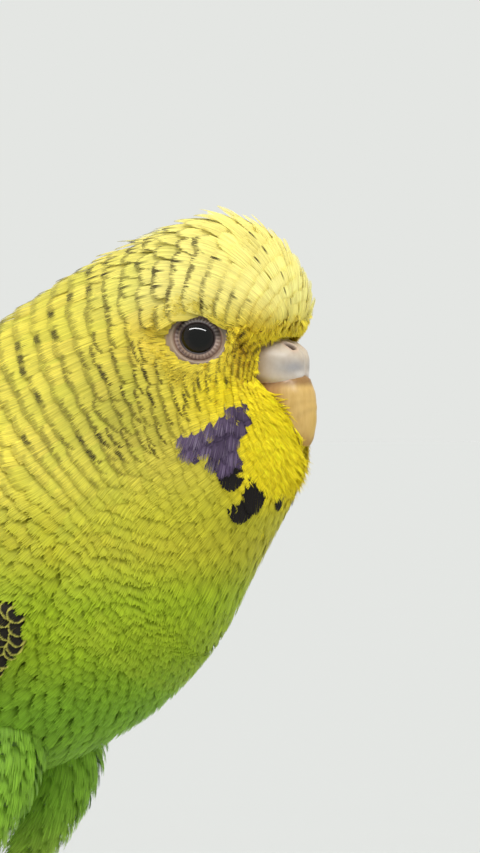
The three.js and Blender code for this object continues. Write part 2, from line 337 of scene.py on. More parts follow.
# the face's own relief: brow, hollow between eye and cere, cheek
relief = (0.4 * near(outline, 11.5, 37.5, 95.5, (3.5, 5.0, 2.6))
          - 0.5 * near(outline, 0, 25, 107, (14, 9, 6))
          - 0.7 * near(outline, 12.9, 36.7, 90.2, (4, 4.2, 3.2))
          + 0.5 * near(outline, 9.5, 41.0, 78.0, (5, 4.0, 5.0)))
outline = outline + normals * relief[:, :, None]
normals = grid_normals(outline) * out_sign
step_along = np.linalg.norm(np.diff(outline, axis=0), axis=-1)
ring_at = np.concatenate([[0], np.cumsum(step_along.mean(axis=1))])

# the cover is what the feathers of the body lie on: the outline with the folded wings on it
WINGS_START = 40
wing_tree = outline_tree({"wing_left": False, "wing_right": False})
wing_reach = cast_rings(wing_tree, FLOW, ring_places, ring_angles)[2]
wing_reach = np.where(np.isnan(wing_reach), 0, wing_reach)
cover_reach = roll_mean(np.maximum(ring_reach, wing_reach), 3)
cover = line_points[:, None] + ring_ways * cover_reach[:, :, None]
cover = np.where(ring_at[:, None, None] > WINGS_START, cover, outline)
cover_normals = grid_normals(cover) * out_sign


# Markings
# One set of rules colours both the skin and the feathers over it: a clear yellow mask and
# crown, dark bars on the nape and cheeks, violet cheek patches, black throat spots, and a
# green body. Places are measured on the bird in mm ahead of the thighs and above the floor.

PALE_CROWN = "#f7ea84"
BROW_PAINTED_LIGHT = "#fff6a0"
TEMPLE_YELLOW = "#f2d044"
MASK_YELLOW = "#f0da1c"
LORE_YELLOW = "#d3ae14"
NAPE_YELLOW = "#f1e056"
CHEEK_OLIVE = "#c3b644"
NECK_GREEN = "#c2bd30"
BREAST_GREEN = "#9fb91f"
BELLY_GREEN = "#7fae2a"
RUMP_GREEN = "#5da73c"
BACK_YELLOW = "#c4c938"
BAR_BROWN = "#40330f"
VIOLET = "#564663"
LILAC_SHEEN = "#8f839b"
SPOT_BLACK = "#15110f"


def linear(code):
    return np.array(hex_colour(code)[:3])


def plain(code, shape):
    """One colour for every place of an array of points of this shape."""
    return np.broadcast_to(linear(code), shape).copy()


def mix(colours, code, amount):
    """Colours turned towards one colour by an amount for each point."""
    return colours + (linear(code) - colours) * np.clip(amount, 0, 1)[..., None]


def layered(ground, shape, *layers):
    """Colours for places of this shape: one ground with others laid over it by amounts."""
    colours = plain(ground, shape)
    for code, amount in layers:
        colours = mix(colours, code, amount)
    return colours


def ramp(value, low, high):
    """0 below low, 1 above high and smooth between; high may be the lower."""
    t = np.clip((value - low) / (high - low), 0, 1)
    return t * t * (3 - 2 * t)


def bell(value, middle, spread):
    """1 at the middle, fading over the spread on both sides."""
    return np.exp(-((value - middle) / spread) ** 2)


def bird_axes(points):
    """Side, forward and up of world points, the side without its sign."""
    return np.abs(points[..., 0]), FRONT_Y + BILL_FRONT - points[..., 1], points[..., 2]


def oval(forward, up, middle, size):
    """Below 1 inside an oval seen from the side."""
    return ((forward - middle[0]) / size[0]) ** 2 + ((up - middle[1]) / size[1]) ** 2


def base_colour(points):
    """The ground colour of the plumage, without its bars, spots and patches."""
    side, forward, up = bird_axes(points)
    neck_line = 77 - 0.15 * (36 - forward)
    mask = ramp(forward, 37, 43) * ramp(up, 64, 70)
    mask = np.maximum(mask, near(points, 11, 40, 82, (6, 7, 6)))
    return layered(
        NAPE_YELLOW, points.shape,
        (CHEEK_OLIVE, near(points, 15, 27, 78, (9, 12, 9))),
        (NECK_GREEN, ramp(up, neck_line, neck_line - 12)),
        (BREAST_GREEN, ramp(up, 62, 52)),
        (BELLY_GREEN, ramp(up, 50, 36)),
        (BACK_YELLOW, ramp(forward, 8, -12) * ramp(up, 60, 70) * 0.8),
        (RUMP_GREEN, ramp(forward, -22, -40)),
        (TEMPLE_YELLOW, near(points, 12, 30, 91, (6, 6, 5)) * 0.7),
        (MASK_YELLOW, mask),
        (PALE_CROWN, ramp(up, 90, 97) * ramp(forward, 11, 34)),
        # painted light: the brow made paler against the shade that falls on it
        (BROW_PAINTED_LIGHT, near(points, 5, 45, 97, (9, 5, 5)) * 0.6),
        (LORE_YELLOW, near(points, 8.5, 43.5, 89, (3.5, 3.6, 4.2)) * 0.9))


def bar_strength(points):
    """How strongly feathers with their tips at these points are barred."""
    side, forward, up = bird_axes(points)
    upper = ramp(forward, 35 + (107 - up) * 0.75, 29 + (107 - up) * 0.75) * ramp(up, 90, 93)
    lower = ramp(forward, 45 - (87 - up) * 0.9, 41 - (87 - up) * 0.9) * ramp(up, 93, 90)
    fade = ramp(up + 0.2 * (30 - forward), 66, 78)
    far = ramp(forward, 26, 12)  # softer on the nape than behind the eye
    back = ramp(forward, 8, 0)
    return np.maximum(upper, lower) * fade * (1 - 0.4 * far * (1 - back))


# the cheek and the puff by the bill are marked out as the camera sees them: these are the
# parts of side and forward in a place's distance ahead, seen 25 degrees before the side
SEEN_SIDE, SEEN_FORWARD = -0.423, 0.906
PATCH_OVALS = (((33.2, 79.0), (1.3, 1.8)), ((31.0, 76.4), (2.4, 2.2)),
               ((27.2, 75.0), (2.0, 2.0)), ((31.0, 73.0), (2.2, 2.3)))
SPOT_OVALS = (((42.2, 68.0), (1.9, 2.4)), ((40.3, 65.7), (2.2, 1.7)))
FRONT_SPOT = ((2.4, 66.8), (1.0, 1.3))


def patch_amount(points):
    """1 over the violet patches of the cheeks."""
    side, forward, up = bird_axes(points)
    seen = side * SEEN_SIDE + forward * SEEN_FORWARD
    inside = np.min([oval(seen, up, m, s) for m, s in PATCH_OVALS], axis=0)
    return ramp(inside, 1.2, 0.8) * ramp(side, 5, 7)


def spot_amount(points, grow=1.0):
    """1 over the black spots of the throat, made larger by grow."""
    side, forward, up = bird_axes(points)
    inside = np.min([oval(forward, up, m, s) for m, s in SPOT_OVALS], axis=0)
    front = oval(side, up, *FRONT_SPOT)
    ahead = ramp(forward, 38, 40)
    return np.maximum(ramp(inside / grow, 1.12, 0.9), ramp(front / grow, 1.2, 0.9)) * ahead


# Feather coat
# Each contour feather is a fan of fine barbs, thin at their tips, rooted on the skin and
# lying back over the next rows. Small on the face, they grow longer towards the tail.

rng = np.random.default_rng(7)
cover_lie = (cover, cover_normals, ring_at)


def on_surface(along, angle, lie=cover_lie):
    """Points and outward normals at distances along a grid and angles round it. lie holds
    the grid, its normals and its rows' distances."""
    rows, columns = lie[0].shape[:2]
    i = np.interp(along, lie[2], np.arange(rows))
    j = (angle / (2 * math.pi) * columns) % columns
    i0 = np.clip(np.floor(i).astype(int), 0, rows - 2)
    j0 = np.floor(j).astype(int) % columns
    fi, fj = (i - i0)[..., None], (j - np.floor(j))[..., None]
    j1 = (j0 + 1) % columns
    point, normal = (
        grid[i0, j0] * (1 - fi) * (1 - fj) + grid[i0 + 1, j0] * fi * (1 - fj)
        + grid[i0, j1] * (1 - fi) * fj + grid[i0 + 1, j1] * fi * fj
        for grid in lie[:2])
    return point, normal / np.linalg.norm(normal, axis=-1, keepdims=True)


def unit(vectors):
    """Vectors of length 1."""
    return vectors / np.maximum(np.linalg.norm(vectors, axis=-1, keepdims=True), 1e-9)


eye_low, eye_high = (np.array(c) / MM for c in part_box("eye_left"))
EYE_MIDDLE = (eye_low + eye_high) / 2
EYE_TURN = math.radians(68)
eye_out = np.array([math.sin(EYE_TURN), -math.cos(EYE_TURN), 0.0])
eye_fore = np.array([-math.cos(EYE_TURN), -math.sin(EYE_TURN), 0.0])
EYE_TILT = math.radians(8)
LID_CENTRE = (-0.22, -0.22)  # where the lids open, ahead of and above the middle of the eye


def eye_plane(points):
    """How far points lie ahead of and above the nearer eye's middle, seen along its axis."""
    away = on_left(points) - EYE_MIDDLE
    ahead, above = away @ eye_fore, away[..., 2]
    return (ahead * math.cos(EYE_TILT) - above * math.sin(EYE_TILT),
            ahead * math.sin(EYE_TILT) + above * math.cos(EYE_TILT))


def coat_depth(points):
    """How far the skin lies under the tips of the feathers, in mm."""
    side, forward, up = bird_axes(points)
    depth = 1.1 + 1.5 * ramp(forward, 42, 26) + 1.2 * ramp(forward, 24, 0)
    ahead, above = eye_plane(points)
    rim = np.sqrt((ahead / 5.4) ** 2 + (above / 4.4) ** 2)
    return depth * (0.55 + 0.45 * ramp(rim, 0.9, 1.5))


def mesh_of(name, points, faces, colours, tuft_map=None):
    """A smooth mesh object from arrays: points in mm, faces in one or more arrays of equal
    sides, a colour for each point and, for a coat, each point's place on the OFBake map."""
    faces = [faces] if isinstance(faces, np.ndarray) else faces
    corner = np.concatenate([f.ravel() for f in faces]).astype(np.int32)
    sides = np.concatenate([np.full(len(f), f.shape[1]) for f in faces])
    mesh = bpy.data.meshes.new(name)
    mesh.vertices.add(len(points))
    mesh.vertices.foreach_set("co", (points * MM).astype(np.float32).ravel())
    mesh.loops.add(len(corner))
    mesh.loops.foreach_set("vertex_index", corner)
    mesh.polygons.add(len(sides))
    starts = np.concatenate([[0], np.cumsum(sides)[:-1]]).astype(np.int32)
    mesh.polygons.foreach_set("loop_start", starts)
    mesh.polygons.foreach_set("use_smooth", np.ones(len(sides), dtype=bool))
    mesh.update(calc_edges=True)
    rgba = np.concatenate([colours, np.ones((len(colours), 1))], 1).astype(np.float32)
    layer = mesh.color_attributes.new("plumage", "FLOAT_COLOR", "POINT")
    layer.data.foreach_set("color", rgba.ravel())
    if tuft_map is not None:
        mesh.uv_layers.new(name="OFBake")
        mesh.uv_layers["OFBake"].data.foreach_set(
            "uv", tuft_map[corner].astype(np.float32).ravel())
    return link_piece(name, mesh)


def grid_faces(rows, columns, first=0):
    """Quads of a grid closed round its columns."""
    index = first + np.arange(rows * columns).reshape(rows, columns)
    beside = np.roll(index, -1, 1)
    return np.stack([index[:-1], index[1:], beside[1:], beside[:-1]], -1).reshape(-1, 4)


def close_poles(grid):
    """Points, quads and triangles of a grid whose two ends are closed to a point each."""
    rows, columns = grid.shape[:2]
    points = np.concatenate([grid.reshape(-1, 3), grid[:1].mean(1), grid[-1:].mean(1)])
    here = np.arange(columns)
    beside = (here + 1) % columns
    last = (rows - 1) * columns
    start = np.stack([np.full(columns, rows * columns), here, beside], -1)
    end = np.stack([np.full(columns, rows * columns + 1), last + beside, last + here], -1)
    return points, grid_faces(rows, columns), np.concatenate([start, end])


def outward(piece):
    """Turns the faces of a closed mesh outwards."""
    shell = bmesh.new()
    shell.from_mesh(piece.data)
    bmesh.ops.recalc_face_normals(shell, faces=shell.faces)
    shell.to_mesh(piece.data)
    shell.free()


def feather_rows(start, end, spacing, across, jitter):
    """Roots in staggered rows from one distance along the body to another. spacing gives
    the distance between rows for a distance along, and across times that is the distance
    within a row. The rows are uneven by jitter times their spacing."""
    alongs, angles = [], []
    here, row = start, 0
    while here < end:
        ring = on_surface(np.full(ANGLES, here), ring_angles)[0]
        sides = np.linalg.norm(np.roll(ring, -1, 0) - ring, axis=1)
        length = np.concatenate([[0], np.cumsum(sides)])
        count = max(6, int(round(length[-1] / (spacing(here) * across))))
        at = (np.arange(count) + 0.5 * (row % 2) + rng.uniform(-0.15, 0.15, count)) / count
        angle = np.interp(at % 1 * length[-1], length, np.append(ring_angles, 2 * math.pi))
        alongs.append(here + rng.normal(0, jitter * spacing(here), count))
        angles.append(angle)
        here += spacing(here)
        row += 1
    return np.concatenate(alongs), np.concatenate(angles)


def feather_path(along, angle, length, turn, lie=cover_lie):
    """Where feathers lie on the outline: a function of the shares t along each of them that
    gives surface points, normals and sideways directions."""
    def path(t):
        reach = length[:, None] * t
        angles = np.broadcast_to(angle[:, None], reach.shape)
        point, normal = on_surface(along[:, None] + reach * np.cos(turn)[:, None], angles, lie)
        ahead, _ = on_surface(along[:, None] + reach + 0.3, angles, lie)
        sideways = unit(np.cross(normal, unit(ahead - point)))
        point = point + sideways * (reach * np.sin(turn)[:, None])[..., None]
        return point, normal, sideways
    return path


def strip_faces(index):
    """Quads between neighbours along the last two axes of an array of point numbers."""
    return np.stack([index[..., :-1, :-1], index[..., :-1, 1:], index[..., 1:, 1:],
                     index[..., 1:, :-1]], axis=-1)


TUFT_PATCH = 0.003  # how much of the map one feather takes up
SHARES = (0, 0.4, 0.7, 0.86, 0.915, 0.95, 1)
BARB_ROLL = 0.1


def barb_fans(path, along, angle, length, width, lift, paint, barbs, shares=SHARES,
              round_tip=0.12, dome=0.1, ragged=0.04, taper=0.45, sink=2.2, root_width=0.5):
    """Points, faces, colours and OFBake places of many feathers, each a fan of barbs with
    points at shares of its length. lift is how far each tip stands off the outline and
    dome how far its edges fall, in mm. round_tip and ragged say how much shorter its outer
    barbs and its random ones are, taper how thin barbs end, sink how fast the feather
    leaves the skin and root_width how wide it starts."""
    count = len(along)
    shares = np.array(shares)
    round_tip, ragged = (np.broadcast_to(a, count)[:, None, None] for a in (round_tip, ragged))
    u = (np.linspace(-1, 1, barbs)[None, :, None]
         + rng.uniform(-0.5, 0.5, (count, barbs, 1)) / barbs)
    tip = 1 - round_tip * np.abs(u) ** 2.5 - ragged * rng.random((count, barbs, 1))
    share = shares[None, None, :]
    t = tip * share
    shape = t.shape + (3,)
    point, normal, sideways = (a.reshape(shape) for a in path(t.reshape(count, -1)))
    off = (-coat_depth(point) * (1 - t) ** sink + lift[:, None, None] * t ** 3
           - dome * u ** 2 * np.minimum(1, 2 * t))
    spread = (root_width + (1 - root_width) * t ** 0.7) * width[:, None, None] / 2
    middle = point + normal * off[..., None] + sideways * (u * spread)[..., None]
    half = (width[:, None, None] / barbs * 0.6) * (1 - taper * share ** 4)
    lean = rng.normal(0, BARB_ROLL, (count, barbs, 1)) - 0.5 * dome * u
    edge = sideways * half[..., None] + normal * (half * lean)[..., None]
    points = np.stack([middle - edge, middle + edge], axis=3)
    colours = paint(middle, t, np.broadcast_to(u, t.shape), share, length)
    colours = np.repeat(colours[:, :, :, None], 2, axis=3)
    # two map columns for each barb, inside the feather's own patch
    left = np.array([-0.4, 0.4])
    map_u = ((angle / (2 * math.pi))[:, None, None, None]
             + (np.arange(barbs)[None, :, None, None] + 0.5 + left - barbs / 2)
             * TUFT_PATCH / barbs)
    map_v = (along / ring_at[-1])[:, None, None, None] + (t[..., None] - 0.5) * TUFT_PATCH
    tuft_map = np.stack(np.broadcast_arrays(map_u, map_v), axis=-1) * 0.98 + 0.01
    index = np.arange(points.size // 3).reshape(points.shape[:-1])
    return (points.reshape(-1, 3), strip_faces(index).reshape(-1, 4), colours.reshape(-1, 3),
            tuft_map.reshape(-1, 2))


def vary(shape, amount):
    """Factors near 1."""
    return 1 + rng.normal(0, amount, shape)


def uneven(colours, by_feather, by_barb):
    """Colours that differ a little between feathers and between their barbs."""
    count, barbs = colours.shape[:2]
    return colours * vary((count, 1, 1, 1), by_feather) * vary((count, barbs, 1, 1), by_barb)


TICK_BLACK = "#2a220c"
BAR_SHARE, BEAD_SHARE, TICK_SHARE = 0.9, 0.16, 0.22
BAR_WIDE = 0.42  # in mm, on the forehead


def paint_head(middle, t, u, share, length):
    """Yellow feathers, each edged dark where the bird is barred."""
    count, barbs = t.shape[:2]
    each, every_barb = (count, 1, 1), (count, barbs, 1)
    tip = middle[:, barbs // 2, -1][:, None, None]
    from_tip = (1 - share) * length[:, None, None]
    behind = tip[..., 1] - FRONT_Y
    colours = uneven(base_colour(middle), 0.04, 0.09)
    green = 0.3 * rng.random(each) * ramp(behind, 12, 26)
    colours = mix(colours, "#c3d23a", green)
    strength = bar_strength(tip)
    # painted shade: each feather darker away from its tip, under the row that covers it, more so
    # where it is barred
    shade = 1 - (0.10 + 0.08 * strength) * ramp(from_tip, 1.0, 2.2)
    colours *= shade[..., None]
    # a bar grows wider and blacker from the forehead to the back
    late = ramp(behind, 46, 60)
    wide = BAR_WIDE + 0.3 * ramp(behind, 24, 50) + 0.7 * late
    wide = wide * vary(each, 0.12) + 0.11 * rng.standard_normal(every_barb)
    bar = ramp(from_tip, wide + 0.16, wide - 0.1) * (rng.random(every_barb) < BAR_SHARE)
    faint = (0.62 + 0.45 * rng.random(each)) * rng.uniform(0.7, 1.0, every_barb)
    bar = bar * strength * np.maximum(late, faint)
    colours = mix(mix(colours, BAR_BROWN, bar), "#1d1a12", bar * late)
    # here and there a bar has a darker middle, and the crown a scatter of black ticks
    beaded = (rng.random(each) < BEAD_SHARE) * ramp(strength, 0.2, 0.6)
    bead = beaded * ramp(np.abs(u), 0.65, 0.35) * ramp(from_tip, wide + 0.22, wide)
    ticked = (rng.random(each) < TICK_SHARE) * ramp(tip[..., 2], 93, 97)
    ticked = ticked * ramp(np.abs(tip[..., 0]), 1.5, 3.0)
    tick = ticked * (np.abs(u) < 0.13) * ramp(from_tip, 0.95, 0.8)
    colours = mix(colours, TICK_BLACK, np.maximum(bead * 0.85, tick * 0.95))
    violet = patch_amount(tip) + rng.uniform(-0.2, 0.2, each) > 0.5
    blue = plain(VIOLET, colours.shape) * vary((count, barbs, 1, 1), 0.15)
    return np.where(violet[..., None], blue * 0.8, colours)


def own_colour(tree):
    """The link that colours a shader with the colours of the mesh's points."""
    return "Base Color", add_node(tree, "ShaderNodeAttribute", attribute_name="plumage").outputs[0]


plumage, tree = new_material("feather_keratin")
# matt barbs with a faint sheen at grazing angles, their colour in the feather itself
finish_material(tree, own_colour(tree), Roughness=0.65, Specular_IOR_Level=0.15,
                Sheen_Weight=0.06, Sheen_Roughness=0.5)


def dress(piece, material, slot, *nodes):
    """Gives a piece its material, hangs it on the root and hides the nodes that it stands for;
    slot is not used.
    """
    piece.data.materials.append(material)
    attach(piece, "root")
    if nodes:
        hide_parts(*nodes)


COAT_FACES = 95000


def add_coat(name, slot, made, *nodes):
    """Pieces of the coat from the arrays of barb_fans, none above COAT_FACES faces."""
    points, faces, colours, tuft_map = made
    pieces = -(-len(faces) // COAT_FACES)
    starts = np.linspace(0, len(faces), pieces + 1).astype(int)
    for k, (first, last) in enumerate(zip(starts[:-1], starts[1:])):
        used, face = np.unique(faces[first:last], return_inverse=True)
        piece = mesh_of(name if pieces == 1 else f"{name}_{k + 1}", points[used],
                        face.reshape(-1, 4), np.clip(colours[used], 0, 1), tuft_map[used])
        dress(piece, plumage, slot, *nodes)


LID_HALF_LONG, LID_ABOVE, LID_BELOW = 4.15, 2.85, 3.4
EYES_FROM = 8  # nearer to the middle than this, nothing belongs to an eye
BILL_ROOT = (42.5, 4.0, 6.5, 74, 89.2)  # middle, half width and length, lowest and highest


def in_lids(points, grow=1.0):
    """True over the bare skin of the lids, made larger by grow."""
    ahead, above = (a - c for a, c in zip(eye_plane(points), LID_CENTRE))
    tall = np.where(above > 0, LID_ABOVE, LID_BELOW)
    inside = (ahead / (LID_HALF_LONG * grow)) ** 2 + (above / (tall * grow)) ** 2 < 1
    return inside & (np.abs(points[..., 0]) > EYES_FROM)


def bare_skin(points):
    """True where no feather is rooted: round the eyes, under the cere and the bill."""
    side, forward, up = bird_axes(points)
    middle, half_wide, half_long, low, high = BILL_ROOT
    bill = (side / half_wide) ** 2 + ((forward - middle) / half_long) ** 2 < 1
    return in_lids(points) | (bill & (up > low) & (up < high))


def cut_short(path, length, crossed):
    """Feather lengths that end before crossed(points) is first true along their paths."""
    t = np.linspace(0, 1, 15)
    inside = crossed(path(np.broadcast_to(t, (len(length), len(t))))[0])
    return length * np.where(inside.any(1), t[np.argmax(inside, 1)], 1.0)


def clear_of_eye(path, length, grow=1.15):
    """Feather lengths cut short where their paths would cross the lids."""
    grow = grow * rng.uniform(0.94, 1.04, (len(length), 1))
    return cut_short(path, length, lambda points: in_lids(points, grow))


def round_eye(points):
    """How far feathers turn away from the eye before it and back behind it, in radians,
    positive upwards on the bird's left."""
    ahead, above = eye_plane(points)
    close = bell(np.hypot(ahead / 1.2, above), 3.0, 3.0)
    swing = math.radians(34) * np.sign(above) * close * np.tanh(ahead / 2.5)
    return swing * np.sign(points[..., 0]) * (np.abs(points[..., 0]) > 6)


HEAD_START, HEAD_END = 3.0, 60.0
OVERLAP = 3.1  # how many rows long a feather is


def head_spacing(along):
    """The distance between rows of feathers, in mm."""
    return 1.15 + 0.75 * ramp(along, 7, 22)


head_along, head_angle = feather_rows(HEAD_START, HEAD_END, head_spacing, 1.25, 0.03)
# rows lie closer together below the cheek than over the nape
head_along = head_along * (1 + 0.15 * np.cos(head_angle) * ramp(head_along, 4, 20))
root = on_surface(head_along, head_angle)[0]
keep = ~bare_skin(root)
head_along, head_angle, root = head_along[keep], head_angle[keep], root[keep]
n = len(head_along)
side, forward, up = bird_axes(root)
crown = ramp(up, 99, 104) * ramp(forward, 21, 28)
head_turn = rng.normal(0, 0.04, n) + round_eye(root)
full_length = OVERLAP * head_spacing(head_along) * vary(n, 0.03)
path = feather_path(head_along, head_angle, full_length, head_turn)
head_length = clear_of_eye(path, full_length)
keep = head_length > 0.97 * full_length
head_along, head_angle, head_turn, head_length, crown, side, up, root = (
    a[keep] for a in (head_along, head_angle, head_turn, head_length, crown, side, up, root))
n = len(head_along)
raised = rng.random(n) < 0.2
nape = ramp(side, 12, 4) * ramp(up, 88, 94)
brow = near(root, 0, 45, 96, (9, 4, 4.5))
throat = 1 - ramp(up, 64, 76)
head_lift = (0.12 + 0.22 * nape + 0.35 * brow) * vary(n, 0.25)
head_lift += crown * (0.2 * rng.random(n) + raised * rng.uniform(0.3, 0.7, n))
made = barb_fans(feather_path(head_along, head_angle, head_length, head_turn), head_along,
                 head_angle, head_length, 1.85 * head_spacing(head_along) * vary(n, 0.05),
                 head_lift, paint_head, barbs=25,
                 round_tip=0.06 + 0.48 * crown + 0.22 * throat, ragged=0.04 + 0.12 * throat)
add_coat("coat_head", "yellow_feathers", made)


# Eyes
# Each eyeball is almost black: a wide pupil in a very dark brown iris, under a wet and
# slightly bulging cornea. The lids of the skin hold it.

SIDES = (("left", 1), ("right", -1))
EYE_RADIUS = 3.2
EYE_ROWS, EYE_SPOKES = 48, 72
POLE_ANGLE = math.radians(2)
CORNEA_BULGE, CORNEA_ANGLE = 0.03, 0.6
PUPIL_ANGLE, IRIS_ANGLE = 27, 48  # in degrees


def eye_place(ahead, above, out, side):
    """World points from places in mm round the middle of the left (1) or right (-1) eye."""
    tilted_ahead = eye_fore * math.cos(EYE_TILT) - np.array([0, 0, math.sin(EYE_TILT)])
    tilted_above = eye_fore * math.sin(EYE_TILT) + np.array([0, 0, math.cos(EYE_TILT)])
    points = (EYE_MIDDLE + ahead[..., None] * tilted_ahead + above[..., None] * tilted_above
              + out[..., None] * eye_out)
    points[..., 0] *= np.squeeze(side)
    return points


def spokes(count):
    """Angles once round, evenly apart."""
    return np.arange(count) * 2 * math.pi / count


def add_shell(name, grid, colours, material, slot, *nodes):
    """A closed piece from a grid of points and their colours."""
    points, quads, triangles = close_poles(grid)
    shades = np.concatenate([colours.reshape(-1, 3), colours[0, :1], colours[-1, :1]])
    piece = mesh_of(name, points, [quads, triangles], np.clip(shades, 0, 1))
    outward(piece)
    dress(piece, material, slot, *nodes)


eye_material, tree = new_material("wet_cornea")
# the clear wet front gives a sharp glint over a dark iris
finish_material(tree, own_colour(tree), Roughness=0.03, IOR=1.376, Specular_IOR_Level=0.4)

polar = np.linspace(POLE_ANGLE, math.pi - POLE_ANGLE, EYE_ROWS)[:, None]
spoke = spokes(EYE_SPOKES)[None, :]
ball = EYE_RADIUS * (1 + CORNEA_BULGE * bell(polar, 0, CORNEA_ANGLE))
degrees = np.degrees(polar)
for name, side in SIDES:
    grid = eye_place(ball * np.sin(polar) * np.cos(spoke), ball * np.sin(polar) * np.sin(spoke),
                     ball * np.cos(polar), side)
    colours = layered("#060706", grid.shape,
                      ("#17110d", ramp(degrees, PUPIL_ANGLE, PUPIL_ANGLE + 3)),
                      ("#2b211c", ramp(degrees, IRIS_ANGLE, IRIS_ANGLE + 6)))
    colours *= vary((1, EYE_SPOKES, 1), 0.12)
    add_shell(f"eyeball_{name}", grid, colours, eye_material, "eye", f"eye_{name}")


# Cere
# The fleshy bulb at the root of the bill, creamy white with a blue-grey cast, pierced by two
# slanting nostrils and ending below in a thin pale rim that laps over the horn.

CERE_ROWS, CERE_SPOKES = 130, 200
CERE_SLOPE = math.radians(1)
NOSTRIL_ENDS = ((2.6, 44.2, 90.3), (1.75, 46.0, 88.9))
NOSTRIL_HALF_WIDTH = 0.55
NOSTRIL_DEPTH = 1.0
CERE_RIM = -0.9  # where the rim is, as a share of the way from the middle down
CERE_BLUE, CERE_GREY, CERE_PINK = "#9fa0a6", "#b7b3b0", "#e3b9a4"


def shell_over(node, table, rows, columns, soften):
    """A smooth grid over one solid, from rays cast towards a line through it, and the
    grid's outward directions."""
    tree = outline_tree({node: False})
    places = np.linspace(0, len(table) - 1, rows)
    middle, way, reach = cast_rings(tree, table, places, spokes(columns), 30.0)
    reach = roll_mean(np.where(np.isnan(reach), np.nanmean(reach), reach), soften)
    grid = middle[:, None] + way * reach[:, :, None]
    normal = grid_normals(grid)
    return grid, normal * np.sign(np.sum(normal * way))


def to_segment(points, ends):
    """Distance to a line between two places on the nearer side, and the share along it."""
    first, last = (spot(*e) for e in ends)
    away, line = on_left(points) - first, last - first
    t = np.clip((away @ line) / (line @ line), 0, 1)
    return np.linalg.norm(away - t[..., None] * line, axis=-1), t


def cere_form():
    """A dome with a flat underside, sloping down to the front, in the space of its solid."""
    low, high = (np.array(c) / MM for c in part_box("cere"))
    middle, half = (low + high) / 2, (high - low) / 2
    turn = np.linspace(0.02, math.pi - 0.02, CERE_ROWS)[:, None]
    spoke = spokes(CERE_SPOKES)[None, :]
    tall = np.cos(turn)
    wide = np.where(turn > math.pi / 2, (1 - np.cos(turn) ** 8) ** 0.5, np.sin(turn))
    x, y = wide * np.sin(spoke), -wide * np.cos(spoke)
    grid = np.stack([x * half[0], y * (half[1] + 0.2), (tall + 0 * x) * half[2]], -1)
    grid[..., 2] += (math.tan(CERE_SLOPE) * grid[..., 1] + 0.3) * ramp(tall, -0.5, 0.5)
    grid[..., 0] *= 1 - 0.10 * ramp(-grid[..., 1], 1, 5)
    # each side of the lower rim hangs down in a shallow lobe
    low = ramp(tall, 0.2, -0.8) * ramp(-grid[..., 1], -3, 3)
    lobes = 0.5 * bell(np.abs(grid[..., 0]), 2.4, 1.9) - 0.3 * bell(grid[..., 0], 0, 1.0)
    grid[..., 2] -= low * lobes
    out = grid_normals(grid)
    return middle + grid, out * np.sign(np.sum(out * grid)), tall + 0 * x


cere_grid, cere_out, tall = cere_form()
side, forward, up = bird_axes(cere_grid)
from_nostril, t = to_segment(cere_grid, NOSTRIL_ENDS)
from_nostril = from_nostril / (0.45 + 0.7 * t)
rim = bell(tall, CERE_RIM, 0.07)
below = ramp(tall, CERE_RIM - 0.03, CERE_RIM - 0.08)
# raised edges and deep middles of the nostrils, a crease between the halves, the rim and the
# swelling over the bill
shape = (0.10 * bell(from_nostril, 0.75, 0.3)
         - NOSTRIL_DEPTH * ramp(from_nostril, NOSTRIL_HALF_WIDTH, 0.1)
         - 0.25 * bell(side, 0, 0.7) * ramp(forward, 40, 45) * ramp(up, 83.5, 86)
         + 0.10 * rim - 0.5 * below
         + 0.22 * near(cere_grid, 3.0, 46.0, 86.5, (2.2, 2, 1.8)))
cere_grid = cere_grid + cere_out * shape[..., None]
colours = layered(
    "#d6cab8", cere_grid.shape,
    ("#a3876a", ramp(forward, 45, 41) * 0.9),
    ("#bfb4a8", ramp(up, 89.0, 90.2) * 0.5),
    (CERE_BLUE, near(cere_grid, 2.6, 46.6, 86.0, (2.6, 3, 1.15)) * 0.95),
    (CERE_GREY, near(cere_grid, 4.2, 45.6, 87.2, (2.2, 3, 1.6)) * 0.5),
    ("#e9e6e2", near(cere_grid, 1.2, 46.9, 85.1, (1.3, 2, 0.5)) * 0.7),
    (CERE_PINK, rim * 0.55),
    ("#6b4a3a", below),
    ("#d9b7a6", bell(from_nostril, 0.7, 0.25) * 0.4),
    # painted shade inside the nostrils' openings
    ("#4b2c27", ramp(from_nostril, NOSTRIL_HALF_WIDTH + 0.12, 0.2)))


def noise(tree, scale, detail, stretch=None):
    """The output of a fine noise, drawn out along the height where stretch is below 1."""
    place = add_node(tree, "ShaderNodeTexCoord").outputs["Object"]
    if stretch:
        mapping = add_node(tree, "ShaderNodeMapping", [("Vector", place)])
        mapping.inputs["Scale"].default_value = (1.0, 1.0, stretch)
        place = mapping.outputs["Vector"]
    made = add_node(tree, "ShaderNodeTexNoise", [("Vector", place)], Scale=scale, Detail=detail)
    return made.outputs["Fac"]


def tinted(tree, code, amount):
    """As own_colour, multiplied by another colour by an amount."""
    tint = add_node(tree, "ShaderNodeMixRGB", [("Fac", amount), ("Color1", own_colour(tree)[1])],
                    blend_type="MULTIPLY")
    tint.inputs["Color2"].default_value = hex_colour(code)
    return "Base Color", tint.outputs["Color"]


def bumped(tree, height, strength, depth):
    """The link that gives a shader a relief, its depth in metres."""
    bump = add_node(tree, "ShaderNodeBump", [("Height", height)], Strength=strength, Distance=depth)
    return "Normal", bump.outputs["Normal"]


cere_material, tree = new_material("cere_skin")
# waxy bare skin: soft gloss broken by very fine wrinkles and faint mottling
finish_material(tree, tinted(tree, "#e6dcd4", noise(tree, 1100.0, 3.0)),
                bumped(tree, noise(tree, 3200.0, 2.0), 0.25, 0.00006),
                Roughness=0.42, Specular_IOR_Level=0.4)
add_shell("cere_skin", cere_grid, colours, cere_material, "cere", "cere")


# Bill
# Two jaws of horn. The upper one is deep and hooked, with a rounded ridge, fine growth lines
# and a worn tip that covers the small lower one.

